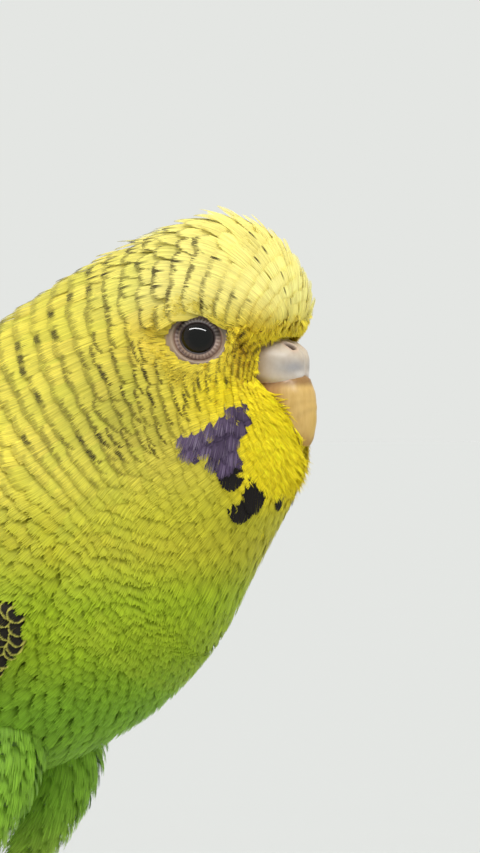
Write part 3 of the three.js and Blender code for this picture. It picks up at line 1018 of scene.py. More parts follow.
BILL_FLOW = np.array([[43.0, 82.2, -82, 178], [43.0, 82.2, -82, 135], [43.0, 81.9, -80, 90],
                      [43.6, 80.6, -74, 90], [44.7, 78.6, -62, 90], [45.8, 77.1, -58, 90],
                      [46.2, 76.6, -58, 45], [46.2, 76.6, -58, 2]])
LOWER_FLOW = np.array([[44.3, 74.6, -60, 178], [44.3, 74.6, -60, 120], [44.3, 74.6, -60, 60],
                       [44.3, 74.6, -60, 2]])
BILL_ROWS, BILL_SPOKES = 110, 128
LOWER_ROWS, LOWER_SPOKES = 60, 72

horn, tree = new_material("bill_horn")
# smooth layered keratin: a low gloss, fine lines along the growth and a faint mottle
grain = noise(tree, 2600.0, 3.0, stretch=0.12)
finish_material(tree, tinted(tree, "#e2d3b8", grain), bumped(tree, grain, 0.2, 0.00005),
                Roughness=0.36, Specular_IOR_Level=0.45)

upper_grid, upper_out = shell_over("bill_upper", BILL_FLOW, BILL_ROWS, BILL_SPOKES, 10)
# the root of the horn narrows and runs on up inside the cere
ROOT_RISE = 2.2
upper_grid[..., 2] += ROOT_RISE * ramp(upper_grid[..., 2], 81.6, 83.4)
inside = spot(0, 42.8, 0)[:2] - upper_grid[..., :2]
narrow = 0.05 * ramp(upper_grid[..., 2], 82.0, 84.4) + 0.3 * ramp(upper_grid[..., 2], 84.4, 85.4)
upper_grid[..., :2] += inside * narrow[..., None]
side, forward, up = bird_axes(upper_grid)
ridge = bell(side, 0, 0.9) * ramp(forward, 44.5, 47)
growth = 0.03 * np.sin(np.linspace(0, 46, BILL_ROWS))[:, None] * ramp(up, 83, 80)
full = 0.16 * ramp(forward, 43, 47) * bell(up, 82.4, 1.3)
upper_grid = upper_grid + upper_out * (0.12 * ridge + growth + full)[..., None]
colours = layered(
    "#dcbb74", upper_grid.shape,
    ("#c39a66", ramp(forward, 46.4, 43.5) * ramp(up, 76, 79)),
    ("#d6b75a", ridge * 0.6 * ramp(up, 83, 78)),
    ("#bd9a58", ramp(up, 77.5, 75.4)),
    ("#8a6238", ramp(up, 83.0, 84.0) * 0.8))
add_shell("bill_horn_upper", upper_grid, colours, horn, "bill_horn", "bill_upper")

lower_grid = shell_over("bill_lower", LOWER_FLOW, LOWER_ROWS, LOWER_SPOKES, 6)[0]
colours = layered("#b98d4c", lower_grid.shape, ("#8a6536", ramp(lower_grid[..., 2], 74, 72.5)))
add_shell("bill_horn_lower", lower_grid, colours, horn, "bill_horn", "bill_lower")


# Face feathers
# Hair-like feathers that lie over other things: a puff on each side of the bill that sweeps
# forwards and down over the horn, a fringe over the top of the cere, dark-streaked bristles
# on the lores, and the separate feathers that carry the round black throat spots.


def shell_tree(*grids):
    """A search tree over several grids closed round their columns."""
    points, faces = [], []
    for grid in grids:
        faces.append(grid_faces(grid.shape[0], grid.shape[1], sum(len(p) for p in points)))
        points.append(grid.reshape(-1, 3))
    return BVHTree.FromPolygons(np.concatenate(points).tolist(), np.concatenate(faces).tolist())


face_tree = shell_tree(outline, upper_grid, cere_grid)
outline_places = KDTree(RINGS * ANGLES)
for k, place in enumerate(outline.reshape(-1, 3)):
    outline_places.insert(place, k)
outline_places.balance()


def locate(points):
    """The distance along the body and the angle of the outline nearest to each point."""
    nearest = np.array([outline_places.find(p)[1] for p in points])
    return ring_at[nearest // ANGLES], ring_angles[nearest % ANGLES]


DRAPE_STEPS = 9
# the search for what to lie on starts this far over the skin and goes this far inwards
DRAPE_ABOVE, DRAPE_FAR = 5, 7


def draped_path(start, normal, way, length):
    """Where feathers lie over whatever is in front of the skin: a path as feather_path
    gives. way is the direction that each one grows in."""
    way = unit(way - np.sum(way * normal, -1, keepdims=True) * normal)
    t = np.linspace(0, 1, DRAPE_STEPS)
    places = start[:, None] + way[:, None] * (length[:, None] * t)[..., None]
    for i in range(len(start)):
        for j in range(DRAPE_STEPS):
            above = Vector(places[i, j] + normal[i] * DRAPE_ABOVE)
            hit = face_tree.ray_cast(above, Vector(-normal[i]), DRAPE_FAR)
            if hit[0] is not None:
                places[i, j] = hit[0]
    for _ in range(2):
        places[:, 1:-1] = (places[:, :-2] + 2 * places[:, 1:-1] + places[:, 2:]) / 4
    sideways = unit(np.cross(normal, way))

    def path(t):
        at = np.clip(t, 0, 1) * (DRAPE_STEPS - 1)
        i = np.minimum(at.astype(int), DRAPE_STEPS - 2)
        f = (at - i)[..., None]
        row = np.arange(len(start))[:, None]
        point = places[row, i] * (1 - f) + places[row, i + 1] * f
        shape = point.shape
        return (point, np.broadcast_to(normal[:, None], shape),
                np.broadcast_to(sideways[:, None], shape))
    return path


TRIES = 60  # places drawn for each one that is wanted
SCATTER_END = 62  # where along the body the places end


def scatter(count, inside):
    """Up to count places on the outline of the head, with their normals. inside(points)
    gives the chance that a place is taken."""
    rows = np.searchsorted(ring_at, SCATTER_END)
    tries = rng.integers(0, rows * ANGLES, count * TRIES)
    place = outline.reshape(-1, 3)[tries]
    keep = inside(place) > rng.random(len(tries))
    tries = tries[keep][:count]
    return outline.reshape(-1, 3)[tries], normals.reshape(-1, 3)[tries]


def sided(side, forward, up, like):
    """A direction to the bird's side, ahead and up, with side away from the middle."""
    return np.stack([side * np.sign(like[:, 0]), -forward + 0 * like[:, 0],
                     up + 0 * like[:, 0]], -1)


def paint_plain(code, dark=None, share_dark=0.0):
    """Feathers in the colour of their place turned towards one colour, some of them dark."""
    def paint(middle, t, u, share, length):
        count, barbs = t.shape[:2]
        colours = uneven(mix(base_colour(middle), code, np.full(t.shape, 0.6)), 0.05, 0.12)
        if dark:
            amount = (rng.random((count, barbs, 1)) < share_dark) * ramp(t, 0.1, 0.5) * 0.75
            colours = mix(colours, dark, amount)
        return colours
    return paint


# how far the puff reaches over the horn at each height, as the camera sees it
PUFF_EDGE = np.array([[70.0, 46.0], [73.2, 44.3], [74.6, 43.4], [75.6, 42.7], [78.7, 41.4],
                      [81.5, 39.8], [83.9, 36.6], [84.5, 36.0], [86.5, 36.1], [88.0, 36.9],
                      [89.1, 38.1], [90.2, 39.0], [90.4, 40.5], [90.5, 60.0]])


def clear_of_bill(path, length):
    """Feather lengths cut short where their paths would run on over the bill or cere."""
    ragged = rng.uniform(-0.3, 0.35, (len(length), 1))

    def crossed(points):
        side, forward, up = bird_axes(points)
        edge = np.interp(up, PUFF_EDGE[:, 0], PUFF_EDGE[:, 1]) + ragged
        return side * SEEN_SIDE + forward * SEEN_FORWARD > edge
    return cut_short(path, length, crossed)


def off_patches(points):
    """1 where no violet or black marking lies."""
    return (1 - patch_amount(points)) * (1 - spot_amount(points, 1.1))


def add_draped(name, start, normal, way, length, shortest, width, lift, lifts_vary, paint, **form):
    """A group of feathers over whatever is in front of the skin, without those that were
    cut too short. width and lift are in mm."""
    keep = length > shortest
    start, normal, way, length = (a[keep] for a in (start, normal, way, length))
    lift = np.broadcast_to(lift, len(keep))[keep]
    along, angle = locate(start)
    n = len(start)
    made = barb_fans(draped_path(start, normal, way, length), along, angle, length,
                     width * vary(n, 0.1), lift * vary(n, lifts_vary), paint, dome=0.0, **form)
    add_coat(name, "yellow_feathers", made)


HAIR = (0, 0.5, 1)  # the shares of a hair-like feather's points

# the puff beside the bill and the chin below it
PUFF_LENGTH = 3.0
start, normal = scatter(2200, lambda p: off_patches(p) * (
    near(p, 6.0, 43.2, 79.5, (4.5, 3.0, 4.5)) + near(p, 4.0, 44.5, 74.0, (5, 4, 4.5))
    + 1.5 * near(p, 1.5, 46.0, 74.0, (3.5, 3.0, 3.0))) * 0.9)
side, forward, up = bird_axes(start)
droop = ramp(up, 84, 74)
way = sided(-0.15 - 0.1 * droop, 0.85 - 0.55 * droop, -0.45 - 0.5 * droop, start)
way = way + rng.normal(0, 0.12, way.shape)
reach = PUFF_LENGTH * vary(len(start), 0.15)
length = PUFF_LENGTH * vary(len(start), 0.15)
length = clear_of_bill(draped_path(start, normal, way, reach), length)
chin = near(start, 0, 46.5, 73, (4.5, 3.5, 3.2))
add_draped("coat_chin", start, normal, way, length, 0.7, 1.5, 0.35 + 1.2 * chin, 0.4,
           paint_plain("#f8e820"), barbs=12, shares=(0, 0.4, 0.7, 1), round_tip=0.5,
           ragged=0.32, taper=0.92, root_width=0.3)

# the fringe over the cere and the brow of the forehead
start, normal = scatter(950, lambda p: (
    near(p, 3.2, 43.4, 91.5, (4.2, 3.4, 1.3)) + near(p, 0, 46.0, 91.6, (2.4, 2.5, 1.4))))
brushed_back = ramp(start[:, 2], 90.4, 93)[:, None]
way = sided(0.05, 0.45, -0.55, start) + sided(0.3, -0.9, 0.2, start) * brushed_back
way = way + rng.normal(0, 0.08, way.shape)
length = 1.9 * vary(len(start), 0.2)
length = clear_of_bill(draped_path(start, normal, way, length), length)
add_draped("coat_fringe", start, normal, way, length, 0.4, 1.0, 0.24, 0.25,
           paint_plain("#f0da30", "#7a5a16", 0.06), barbs=7, shares=HAIR, round_tip=0.5,
           ragged=0.2, taper=0.85, root_width=0.3)

# the lores
start, normal = scatter(520, lambda p: (
    near(p, 8.2, 41.2, 87.5, (3.6, 2.6, 3.2)) * 1.3))
side, forward, up = bird_axes(start)
way = sided(0.5, -0.75, (up - 86.5) * 0.16, start) + rng.normal(0, 0.12, start.shape)
length = 2.4 * vary(len(start), 0.2)
length = clear_of_eye(draped_path(start, normal, way, length), length)
length = clear_of_bill(draped_path(start, normal, way, length), length)
add_draped("coat_lores", start, normal, way, length, 0.7, 0.9, 0.28, 0.5,
           paint_plain("#d8b21c", "#6b4a10", 0.3), barbs=7, shares=HAIR, round_tip=0.4,
           ragged=0.3, taper=0.9, root_width=0.35)

# short feathers all round the lids, which lie away from the eye
RIM_FEATHERS = 1000
LID_PATCH = (4.2, 4.5, 3.3, 3.65)  # half sizes behind, ahead, above and below the lids' middle


def lid_radius(spoke, sizes):
    """Distance from the lids' middle to a closed curve of these half sizes."""
    x = np.where(np.cos(spoke) < 0, sizes[0], sizes[1])
    y = np.where(np.sin(spoke) > 0, sizes[2], sizes[3])
    return 1 / np.hypot(np.cos(spoke) / x, np.sin(spoke) / y)


turn = rng.uniform(-math.pi, math.pi, RIM_FEATHERS)
side = rng.choice([-1, 1], RIM_FEATHERS)
from_lids = rng.uniform(0.0, 2.4, RIM_FEATHERS)
reach = from_lids + lid_radius(turn, LID_PATCH) - 0.2
at_x, at_y = np.cos(turn), np.sin(turn)
start = eye_place(reach * at_x + LID_CENTRE[0], reach * at_y + LID_CENTRE[1],
                  np.full(RIM_FEATHERS, 3.0), side)
start, normal = on_surface(*locate(start))
zero = np.zeros(RIM_FEATHERS)
from_middle = eye_place(at_x, at_y, zero, side) - eye_place(zero, zero, zero, side)
way = from_middle * 0.6 + sided(0.2, -0.8, -0.1, start) + rng.normal(0, 0.1, start.shape)
length = 2.1 * vary(RIM_FEATHERS, 0.2)
length = clear_of_eye(draped_path(start, normal, way, length), length, 1.08)
add_draped("coat_eye_rims", start, normal, way, length, 0.5, 1.3, 0.22, 0.4,
           paint_plain("#dcc83c", "#5d4a1c", 0.12), barbs=9, shares=HAIR, round_tip=0.4,
           ragged=0.3, taper=0.85, root_width=0.4)

# the violet cheek patch: broad feathers that point down, their ends overlapping like tiles.
# Each has its middle as the camera sees it, its lean and its size
CHEEK_FEATHERS = [
    (31.4, 72.2, -0.1, 3.8, 3.8), (29.8, 72.9, -0.2, 3.4, 3.6), (32.4, 73.8, 0.0, 3.2, 3.6),
    (26.4, 74.2, -0.25, 3.6, 3.6), (28.3, 74.6, -0.2, 3.8, 3.8), (30.6, 74.6, -0.15, 3.6, 3.8),
    (32.5, 75.6, 0.0, 3.0, 3.6), (25.8, 75.7, -0.3, 3.2, 3.2), (27.4, 76.2, -0.25, 3.4, 3.4),
    (29.1, 76.8, -0.2, 3.4, 3.6), (30.9, 77.9, -0.15, 2.8, 3.4), (32.3, 78.0, -0.1, 2.8, 3.4),
    (33.6, 77.6, 0.0, 2.4, 3.4), (32.4, 79.4, -0.1, 2.3, 2.8), (33.6, 79.9, 0.0, 2.2, 3.0)]
CHEEK_ROOT = 1.6


def cheek_marks():
    """The cheek feathers as add_marks takes them, their places found on the outline."""
    side_range = np.linspace(4, 15, 60)
    for seen, up, lean, wide, tall in CHEEK_FEATHERS:
        forward = (seen - SEEN_SIDE * side_range) / SEEN_FORWARD
        gap = [outline_places.find(spot(s, f, up))[2] for s, f in zip(side_range, forward)]
        best = int(np.argmin(gap))
        yield (side_range[best], forward[best], up), (0.15, lean, -1.0), (wide, tall), 0.0


def paint_cheek(middle, t, u, share, length):
    """Violet with paler streaks along each feather, partly a painted highlight, and darker
    ones at its end; yellow at its root.
    """
    count, barbs = t.shape[:2]
    from_end = (1 - t) * length[:, None, None]
    tall = (length - CHEEK_ROOT)[:, None, None]
    ragged = 0.16 * rng.standard_normal((count, barbs, 1)) + 0.12
    violet = ramp(from_end / tall, 1.2 + ragged, 0.85 + ragged)
    # the paler lilac streaks are the patch's own paler barbs and partly a painted highlight of its
    # sheen
    sheen_streaks = ramp(rng.random((count, barbs, 1)), 0.5, 1.0) * ramp(t, 0.45, 0.85) * 0.55
    ends = ramp(from_end, 0.45, 0.1) * 0.5 * rng.random((count, barbs, 1))
    shade = layered(VIOLET, middle.shape, (LILAC_SHEEN, sheen_streaks), ("#221a26", ends))
    shade = uneven(shade, 0.14, 0.14)
    colours = base_colour(middle) * vary((count, barbs, 1, 1), 0.08)
    return colours + (shade - colours) * violet[..., None]


def add_marks(name, marks, root, lift, paint, **form):
    """Broad marked feathers in pairs, one on each side of the bird. A mark has the place
    and direction of its visible end, out, ahead and up, its width and height, and how much
    farther out it lies on the left. root is the hidden length above it."""
    start, way, size = [], [], []
    for (out, forward, up), (lie_out, lie_ahead, lie_up), (wide, tall), farther in marks:
        for side in (1, -1):
            direction = unit(np.array([lie_out * side, -lie_ahead, lie_up]))
            middle = spot((out + farther * (side > 0)) * side, forward, up)
            start.append(middle - direction * (root + tall / 2))
            way.append(direction)
            size.append((wide, tall))
    along, angle = locate(np.array(start))
    start, normal = on_surface(along, angle)
    wide, tall = np.array(size).T
    length = tall + root
    made = barb_fans(draped_path(start, normal, np.array(way), length), along, angle, length,
                     wide, np.array(lift), paint, round_tip=0.35, **form)
    add_coat(name, "yellow_feathers", made)


add_marks("coat_cheeks", cheek_marks(), CHEEK_ROOT,
          np.repeat(np.linspace(0.55, 0.95, len(CHEEK_FEATHERS)), 2), paint_cheek, barbs=27,
          shares=np.linspace(0, 1, 11), dome=0.35, ragged=0.13, taper=0.7, root_width=0.7,
          sink=4.0)

# each throat spot is the round black end of one feather
THROAT_SPOTS = (((9.4, 40.1, 71.0), (0.1, -0.1, -1.0), (4.2, 4.0), 0.6),
                ((7.3, 40.6, 65.9), (0.1, -0.15, -1.0), (4.4, 3.6), 0.6),
                ((6.3, 42.3, 68.6), (0.05, 0.1, -1.0), (4.1, 6.0), 1.8),
                ((1.6, 43.7, 67.6), (0.0, 0.0, -1.0), (2.2, 2.6), 3.0))
SPOT_ROOT = 2.2
SPOT_LIFTS = (0.5, 0.5, 0.45, 0.45, 0.3, 0.6, 0.3, 0.35)


def paint_spot(middle, t, u, share, length):
    """Yellow at the root and black over the round end."""
    count, barbs = t.shape[:2]
    from_end = (1 - t) * length[:, None, None]
    tall = (length - SPOT_ROOT)[:, None, None]
    round_end = ((from_end - tall / 2) / (tall / 2)) ** 2 + (u / 0.98) ** 2
    black = ramp(round_end, 1.15, 0.95)
    colours = base_colour(middle) * vary((count, barbs, 1, 1), 0.08)
    return mix(colours, SPOT_BLACK, black)


add_marks("coat_spots", THROAT_SPOTS, SPOT_ROOT, SPOT_LIFTS, paint_spot, barbs=29,
          shares=np.linspace(0, 1, 15), dome=0.25, ragged=0.05, taper=0.1, root_width=0.8,
          sink=6.0)


# Body feathers
# Broad soft feathers that grow longer towards the tail: plain green below and on the rump,
# blackish with yellow edges on the back and on the small coverts of the wings.

BODY_START, BODY_END = 61.0, 152.0
HEAD_WARP = 9.0  # how much farther back a row starts above than below, each way
LAST_TIP = 160
QUILLS_START, COVERTS_END = 88, 108
SCALLOP_EDGE = 0.32  # half a feather's width as a share of its length
# distance along the body, then the turns of the wing's upper and lower edge in degrees
WING_EDGES = np.array([[49, 84, 100], [53, 55, 112], [57, 41, 122], [65, 28, 128],
                       [73, 21, 129], [82, 17, 128], [91, 15, 122], [99, 13, 114],
                       [107, 11, 107], [114, 11, 96], [120, 11, 84], [127, 11, 73],
                       [133, 10, 68], [140, 9, 58], [148, 8, 51], [153, 7, 42]])


def wing_edges(along):
    """The angles of a wing's upper and lower edge at distances along the body."""
    return (np.interp(along, WING_EDGES[:, 0], np.radians(WING_EDGES[:, k])) for k in (1, 2))


def wing_share(along, angle):
    """How far between a wing's upper (0) and lower (1) edge a place is."""
    turn = np.abs((angle + math.pi) % (2 * math.pi) - math.pi)
    upper, lower = wing_edges(along)
    return (turn - upper) / (lower - upper)


def body_spacing(along):
    """The distance between rows of feathers, in mm."""
    return 1.55 + 1.9 * ramp(along, 62, 125) - 0.6 * ramp(along, 128, 145)


def scallop_strength(points):
    """1 where feathers are blackish with yellow edges, between and over the wings."""
    side, forward, up = bird_axes(points)
    below_back = 99.4 - 0.9 * (12 - forward) - up
    return ramp(below_back, 26, 18) * ramp(forward, 13, 5) * ramp(forward, -42, -35)


body_along, body_angle = feather_rows(BODY_START, BODY_END, body_spacing, 1.3, 0.05)
body_along = body_along + HEAD_WARP * np.cos(body_angle) * ramp(body_along, 145, 90)
on_wing = wing_share(body_along, body_angle)
inside_wing = (on_wing > 0.0) & (on_wing < 1.0)
under_quills = (on_wing > 0.12 + 0.2 * ramp(body_along, 100, 110)) & (body_along > QUILLS_START)
keep = ~(inside_wing & under_quills) & (body_along < BODY_END)
body_along, body_angle, inside_wing = body_along[keep], body_angle[keep], inside_wing[keep]
n = len(body_along)
body_length = np.minimum(OVERLAP * body_spacing(body_along) * vary(n, 0.04),
                         LAST_TIP - body_along)
body_turn = rng.normal(0, 0.05, n)
root = on_surface(body_along, body_angle)[0]


def paint_body(middle, t, u, share, length):
    """Green feathers darkened towards their roots as painted shade under the rows over them,
    blackish ones with yellow edges on the back and the small coverts."""
    count, barbs = t.shape[:2]
    tip = middle[:, barbs // 2, -1]
    size = length[:, None, None]
    from_tip = (1 - share) * size
    colours = uneven(base_colour(middle), 0.05, 0.1)
    # painted shade: darker away from the tip, where the rows over each feather cover it
    colours *= (1 - 0.25 * ramp(from_tip, 1.5, 4.5))[..., None]
    back = (scallop_strength(tip) + rng.uniform(-0.2, 0.2, count) > 0.5)[:, None, None] * 1.0
    covert = (inside_wing & (body_along < COVERTS_END))[:, None, None] * 1.0
    edge = np.minimum(from_tip, (1 - np.abs(u)) * size * SCALLOP_EDGE)
    centre = ramp(edge, 0.05 * size, 0.09 * size)
    broken = 0.94 + 0.06 * rng.random((count, barbs, 1))
    for code, amount in (("#d8d05a", back * 0.7), ("#1d1a12", back * (centre * broken)),
                         ("#d6cf62", covert * 0.9), ("#211d14", covert * centre)):
        colours = mix(colours, code, amount)
    return colours


made = barb_fans(feather_path(body_along, body_angle, body_length, body_turn), body_along,
                 body_angle, body_length, 1.9 * body_spacing(body_along) * vary(n, 0.05),
                 0.2 * vary(n, 0.4), paint_body, barbs=27, shares=(0, 0.35, 0.6, 0.78, 0.9, 1),
                 round_tip=0.25, dome=0.2,
                 ragged=0.04 + 0.10 * (1 - scallop_strength(root)) * ~inside_wing)
add_coat("coat_body", "green_feathers", made)


# Wings
# Each folded wing shows its long quills: primaries to the tip, secondaries and greater
# coverts over them. Every quill has a pale-edged dark vane of barbs on a horny shaft.

QUILL_SINK = 0.9  # how far the bases lie under the body feathers, in mm
BED_ABOVE, BED_FAR = 4, 9
VANE_STEPS = 4
VANE_TILT = 0.025
BARB_LEAN = 0.02
SHAFT_STEPS, SHAFT_END = 26, 0.985
SHAFT_HALF_WIDTH = 0.32
SHAFT_SECTION = np.array([[-1.0, -0.2], [-0.5, 0.75], [0.5, 0.75], [1.0, -0.2]])


def quill_lift(t, lift, low, high):
    """How far quills stand off their bed: sunk at the base, and up to their lift between
    the shares low and high of their length."""
    return lift * ramp(t, low, high) - QUILL_SINK * ramp(t, low + 0.1, low * 0.5)


def vane_feathers(path, length, wide, lift, paint, barbs, slant, camber, point_at,
                  bed=None, rise=(0, 0.25)):
    """Points, faces, colours and map places of quill feathers. wide gives each one's half
    widths on its two sides; barbs leave the shaft on both sides, slanting towards the tip,
    and shorten to a point from the share point_at on. camber is how far the edges fall.
    Each quill is laid on the bed and climbs to its lift between the shares in rise."""
    count = len(length)
    low, high = np.broadcast_to(np.array(rise, dtype=float), (count, 2)).T
    at = np.linspace(0.03, 1.0, barbs)
    pointed = np.clip((at - point_at) / (1 - point_at), 0, 1) ** 2.4
    shape = ramp(at, -0.02, 0.14) * np.sqrt(np.maximum(1 - pointed, 0))
    reach = wide[:, :, None] * shape  # feather, side, barb
    out = np.linspace(0, 1, VANE_STEPS)
    sag = slant * reach / length[:, None, None]
    t = np.minimum(at[:, None] + sag[..., None] * out ** 1.3, 1.0)
    u = np.array([-1.0, 1.0])[:, None, None] * reach[..., None] * out
    across = u / wide.max(1)[:, None, None, None]
    laid = path(t.reshape(count, -1))
    point, normal, sideways = (a.reshape(t.shape + (3,)) for a in laid)
    lean = rng.normal(0, BARB_LEAN, (count, 2, barbs, 1))
    off = (quill_lift(t, *(a[:, None, None, None] for a in (lift, low, high)))
           - camber * across ** 2 + lean * out)
    middle = point + sideways * u[..., None]
    if bed:
        places, ways = middle.reshape(-1, 3), normal.reshape(-1, 3)
        for k in range(len(places)):
            above = Vector(places[k] + ways[k] * BED_ABOVE)
            hit = bed.ray_cast(above, Vector(-ways[k]), BED_FAR)
            if hit[0] is not None:
                places[k] = hit[0]
        middle = places.reshape(middle.shape)
    middle = middle + normal * off[..., None]
    half = (length / barbs)[:, None, None, None] * 0.62 * (1 - 0.35 * out ** 3)
    edge = unit(np.cross(sideways, normal)) * half[..., None] + normal * VANE_TILT
    points = np.stack([middle - edge, middle + edge], axis=4)
    colours = np.repeat(paint(middle, t, across)[:, :, :, :, None], 2, axis=4)
    # each quill has a cell of the map to itself
    cells = math.ceil(math.sqrt(count))
    cell_u, cell_v = np.arange(count) % cells + 0.5, np.arange(count) // cells + 0.04
    map_u = (cell_u[:, None, None, None, None] + 0.45 * across[..., None]) / cells
    map_v = at[:, None, None] + np.array([-0.45, 0.45]) / barbs
    map_v = (cell_v[:, None, None, None, None] + 0.9 * map_v) / cells
    vane_map = np.stack(np.broadcast_arrays(map_u, map_v), axis=-1)
    index = np.arange(points.size // 3).reshape(points.shape[:-1])
    faces = strip_faces(index)
    faces[:, 1] = faces[:, 1, ..., ::-1]
    vane = (points.reshape(-1, 3), faces.reshape(-1, 4), colours.reshape(-1, 3),
            vane_map.reshape(-1, 2))
    # the shaft is a low ridge along the middle
    run = np.linspace(0.0, SHAFT_END, SHAFT_STEPS)
    t = np.broadcast_to(run, (count, SHAFT_STEPS))
    point, normal, sideways = (a[:, :, None] for a in path(t))
    thick = SHAFT_HALF_WIDTH * (1 - 0.8 * run) * np.clip(wide.sum(1) / 7, 0.4, 1)[:, None]
    off = quill_lift(t, *(a[:, None] for a in (lift, low, high)))
    out, above = (thick[..., None] * SHAFT_SECTION[:, k] for k in (0, 1))
    ridge = point + normal * (off[..., None] + above)[..., None] + sideways * out[..., None]
    index = np.arange(ridge.size // 3).reshape(ridge.shape[:-1]) + len(vane[0])
    map_u = (cell_u[:, None, None] + 0.01 * SHAFT_SECTION[:, 0]) / cells
    map_v = (cell_v[:, None, None] + 0.9 * run[:, None]) / cells
    shaft_map = np.stack(np.broadcast_arrays(map_u, map_v), axis=-1)
    shaft = (ridge.reshape(-1, 3), strip_faces(index)[..., [0, 3, 2, 1]].reshape(-1, 4),
             plain("#3a3226", ridge.shape).reshape(-1, 3), shaft_map.reshape(-1, 2))
    return [np.concatenate(parts) for parts in zip(vane, shaft)]


def add_quills(name, slot, node, path, wide, lift, paint, **form):
    """A piece of quill feathers that stands for a node, each as long as its path."""
    places = path(np.linspace(0, 1, 24) * np.ones((len(wide), 1)))[0]
    length = np.linalg.norm(np.diff(places, axis=1), axis=-1).sum(1)
    add_coat(name, slot, vane_feathers(path, length, wide, lift, paint, **form), node)


def vane_ground(code, t, varies):
    """One colour that differs a little between barbs."""
    return plain(code, t.shape + (3,)) * vary(t.shape[:3] + (1, 1), varies)


def wing_path(first, last, bow, side):
    """Feather paths over the cover from places to places in mm along the body and shares
    between the wing's edges, bowed towards its lower edge."""
    def place(t):
        along = first[:, None, 0] + (last - first)[:, None, 0] * t
        share = first[:, None, 1] + (last - first)[:, None, 1] * t
        share = share + bow[:, None] * t * (1 - t) * 4
        upper, lower = wing_edges(along)
        return on_surface(along, side * (upper + (lower - upper) * share))

    def path(t):
        point, normal = place(t)
        ahead, _ = place(t + 0.01)
        return point, normal, side * unit(np.cross(normal, unit(ahead - point)))
    return path


def wing_set():
    """Roots, tips, bows, half widths, lifts and kinds of a wing's quills: 7 primaries (0),
    8 secondaries (1) and 9 greater coverts (2), each lot from the lowest up."""
    rows = []
    for k in range(7):
        s = k / 6
        rows.append(((90 - 3 * s, 0.93 - 0.20 * s), (149 - 31 * s ** 0.9, 0.55 - 0.2 * s),
                     0.12 - 0.04 * s, (2.4, 3.6), 0.15 + 0.14 * k, 0))
    for k in range(8):
        s = k / 7
        rows.append(((82 - 2 * s, 0.80 - 0.72 * s), (121 - 13 * s, 0.50 - 0.48 * s),
                     0.03, (3.4, 4.2), 0.9 + 0.16 * k, 1))
    for k in range(9):
        s = k / 8
        lift = 1.8 + 0.12 * k - 0.6 * max(0, 1 - k / 3) - 0.3 * (k == 8)
        rows.append(((72 - 3 * s, 0.95 - 0.90 * s), (95 - 7 * s, 0.86 - 0.82 * s),
                     0.0, (3.0, 3.4), lift, 2))
    return rows


# by kind: where the yellow edge starts on the lower and the upper side of a quill
LOWER_RIMS, UPPER_RIMS = np.array([0.86, 0.74, 0.70]), np.array([0.97, 0.80, 0.74])
RIM_WIDTH = 0.12
# by kind: between which shares quills rise out of the feathers over their bases
QUILL_RISE = np.array([[0.04, 0.5], [0.04, 0.5], [0.45, 0.75]])


def paint_quill(kind):
    """Blackish vanes, their edges lit with yellow: narrow on primaries, wide on coverts."""
    kind = kind[:, None, None, None]

    def paint(middle, t, across):
        colours = vane_ground("#25221a", t, 0.12)
        near_edge = np.where(across > 0, across, -across * 1.25)
        start = np.where(across > 0, LOWER_RIMS[kind], UPPER_RIMS[kind])
        rim = ramp(near_edge, start, start + RIM_WIDTH)
        tip = ramp(t, 0.975, 0.995) * (kind > 0)
        colours = mix(colours, "#cfc95a", np.maximum(rim, tip) * 0.92)
        olive = ramp(np.abs(across), 0.2, 0.7) * (kind == 1)
        return mix(colours, "#6c7434", olive * 0.25)
    return paint


cover_tree = shell_tree(cover)
first, last, bow, wide, lift, kind = (np.array(column) for column in zip(*wing_set()))
for name, side in SIDES:
    add_quills(f"quills_{name}", "wing_feathers", f"wing_{name}",
               wing_path(first, last, bow, side), wide, lift, paint_quill(kind), barbs=70,
               slant=0.8, camber=0.06, point_at=0.55, bed=cover_tree, rise=QUILL_RISE[kind])


# Tail
# Twelve long graduated quills: the middle pair blue and longest, on top, the others shorter
# and lower towards the sides, greenish with a yellow band.

# forward and up of the line that the tail lies along
TAIL_LINE = np.array([[-56.0, 23.6], [-66, 20.9], [-80, 17.1], [-97, 12.3], [-115, 7.3],
                      [-130, 3.6], [-140, 1.75], [-147, 1.0]])
# forward and side of the tips, from the middle pair out
TAIL_TIPS = np.array([[-147.0, 0.5], [-131, 2.2], [-117, 3.7], [-105, 4.9], [-96, 5.8],
                      [-88, 6.4]])
TAIL_PAIRS = len(TAIL_TIPS)
TAIL_ROOT_FORWARD = -57.0
TAIL_STEP_DOWN = 0.26
TAIL_HALF_WIDTH, MIDDLE_NARROWER = 3.3, 0.35


def tail_path(rank, side):
    """Feather paths from the vent to the tips, the outer ones lower and spread apart."""
    tip = TAIL_TIPS[rank]
    root_side = 0.5 + 0.75 * rank

    def place(t):
        forward = TAIL_ROOT_FORWARD + (tip[:, None, 0] - TAIL_ROOT_FORWARD) * t
        out = root_side[:, None] + (tip[:, None, 1] - root_side[:, None]) * t ** 0.7
        up = np.interp(-forward, -TAIL_LINE[:, 0], TAIL_LINE[:, 1])
        lower = TAIL_STEP_DOWN * rank[:, None] + 0.02 * out ** 2
        up = up + 0.9 - lower * ramp(-forward, 150, 120) - 0.55 * ramp(-forward, 100, 147)
        return np.stack([out * side[:, None], FRONT_Y + BILL_FRONT - forward, up], -1)

    def path(t):
        point = place(t)
        way = unit(place(t + 0.01) - point)
        tilt = np.zeros(point.shape)
        tilt[..., 0] = 0.05 * point[..., 0]
        tilt[..., 2] = 1
        sideways = unit(np.cross(way, tilt))
        return point, unit(np.cross(sideways, way)), sideways
    return path


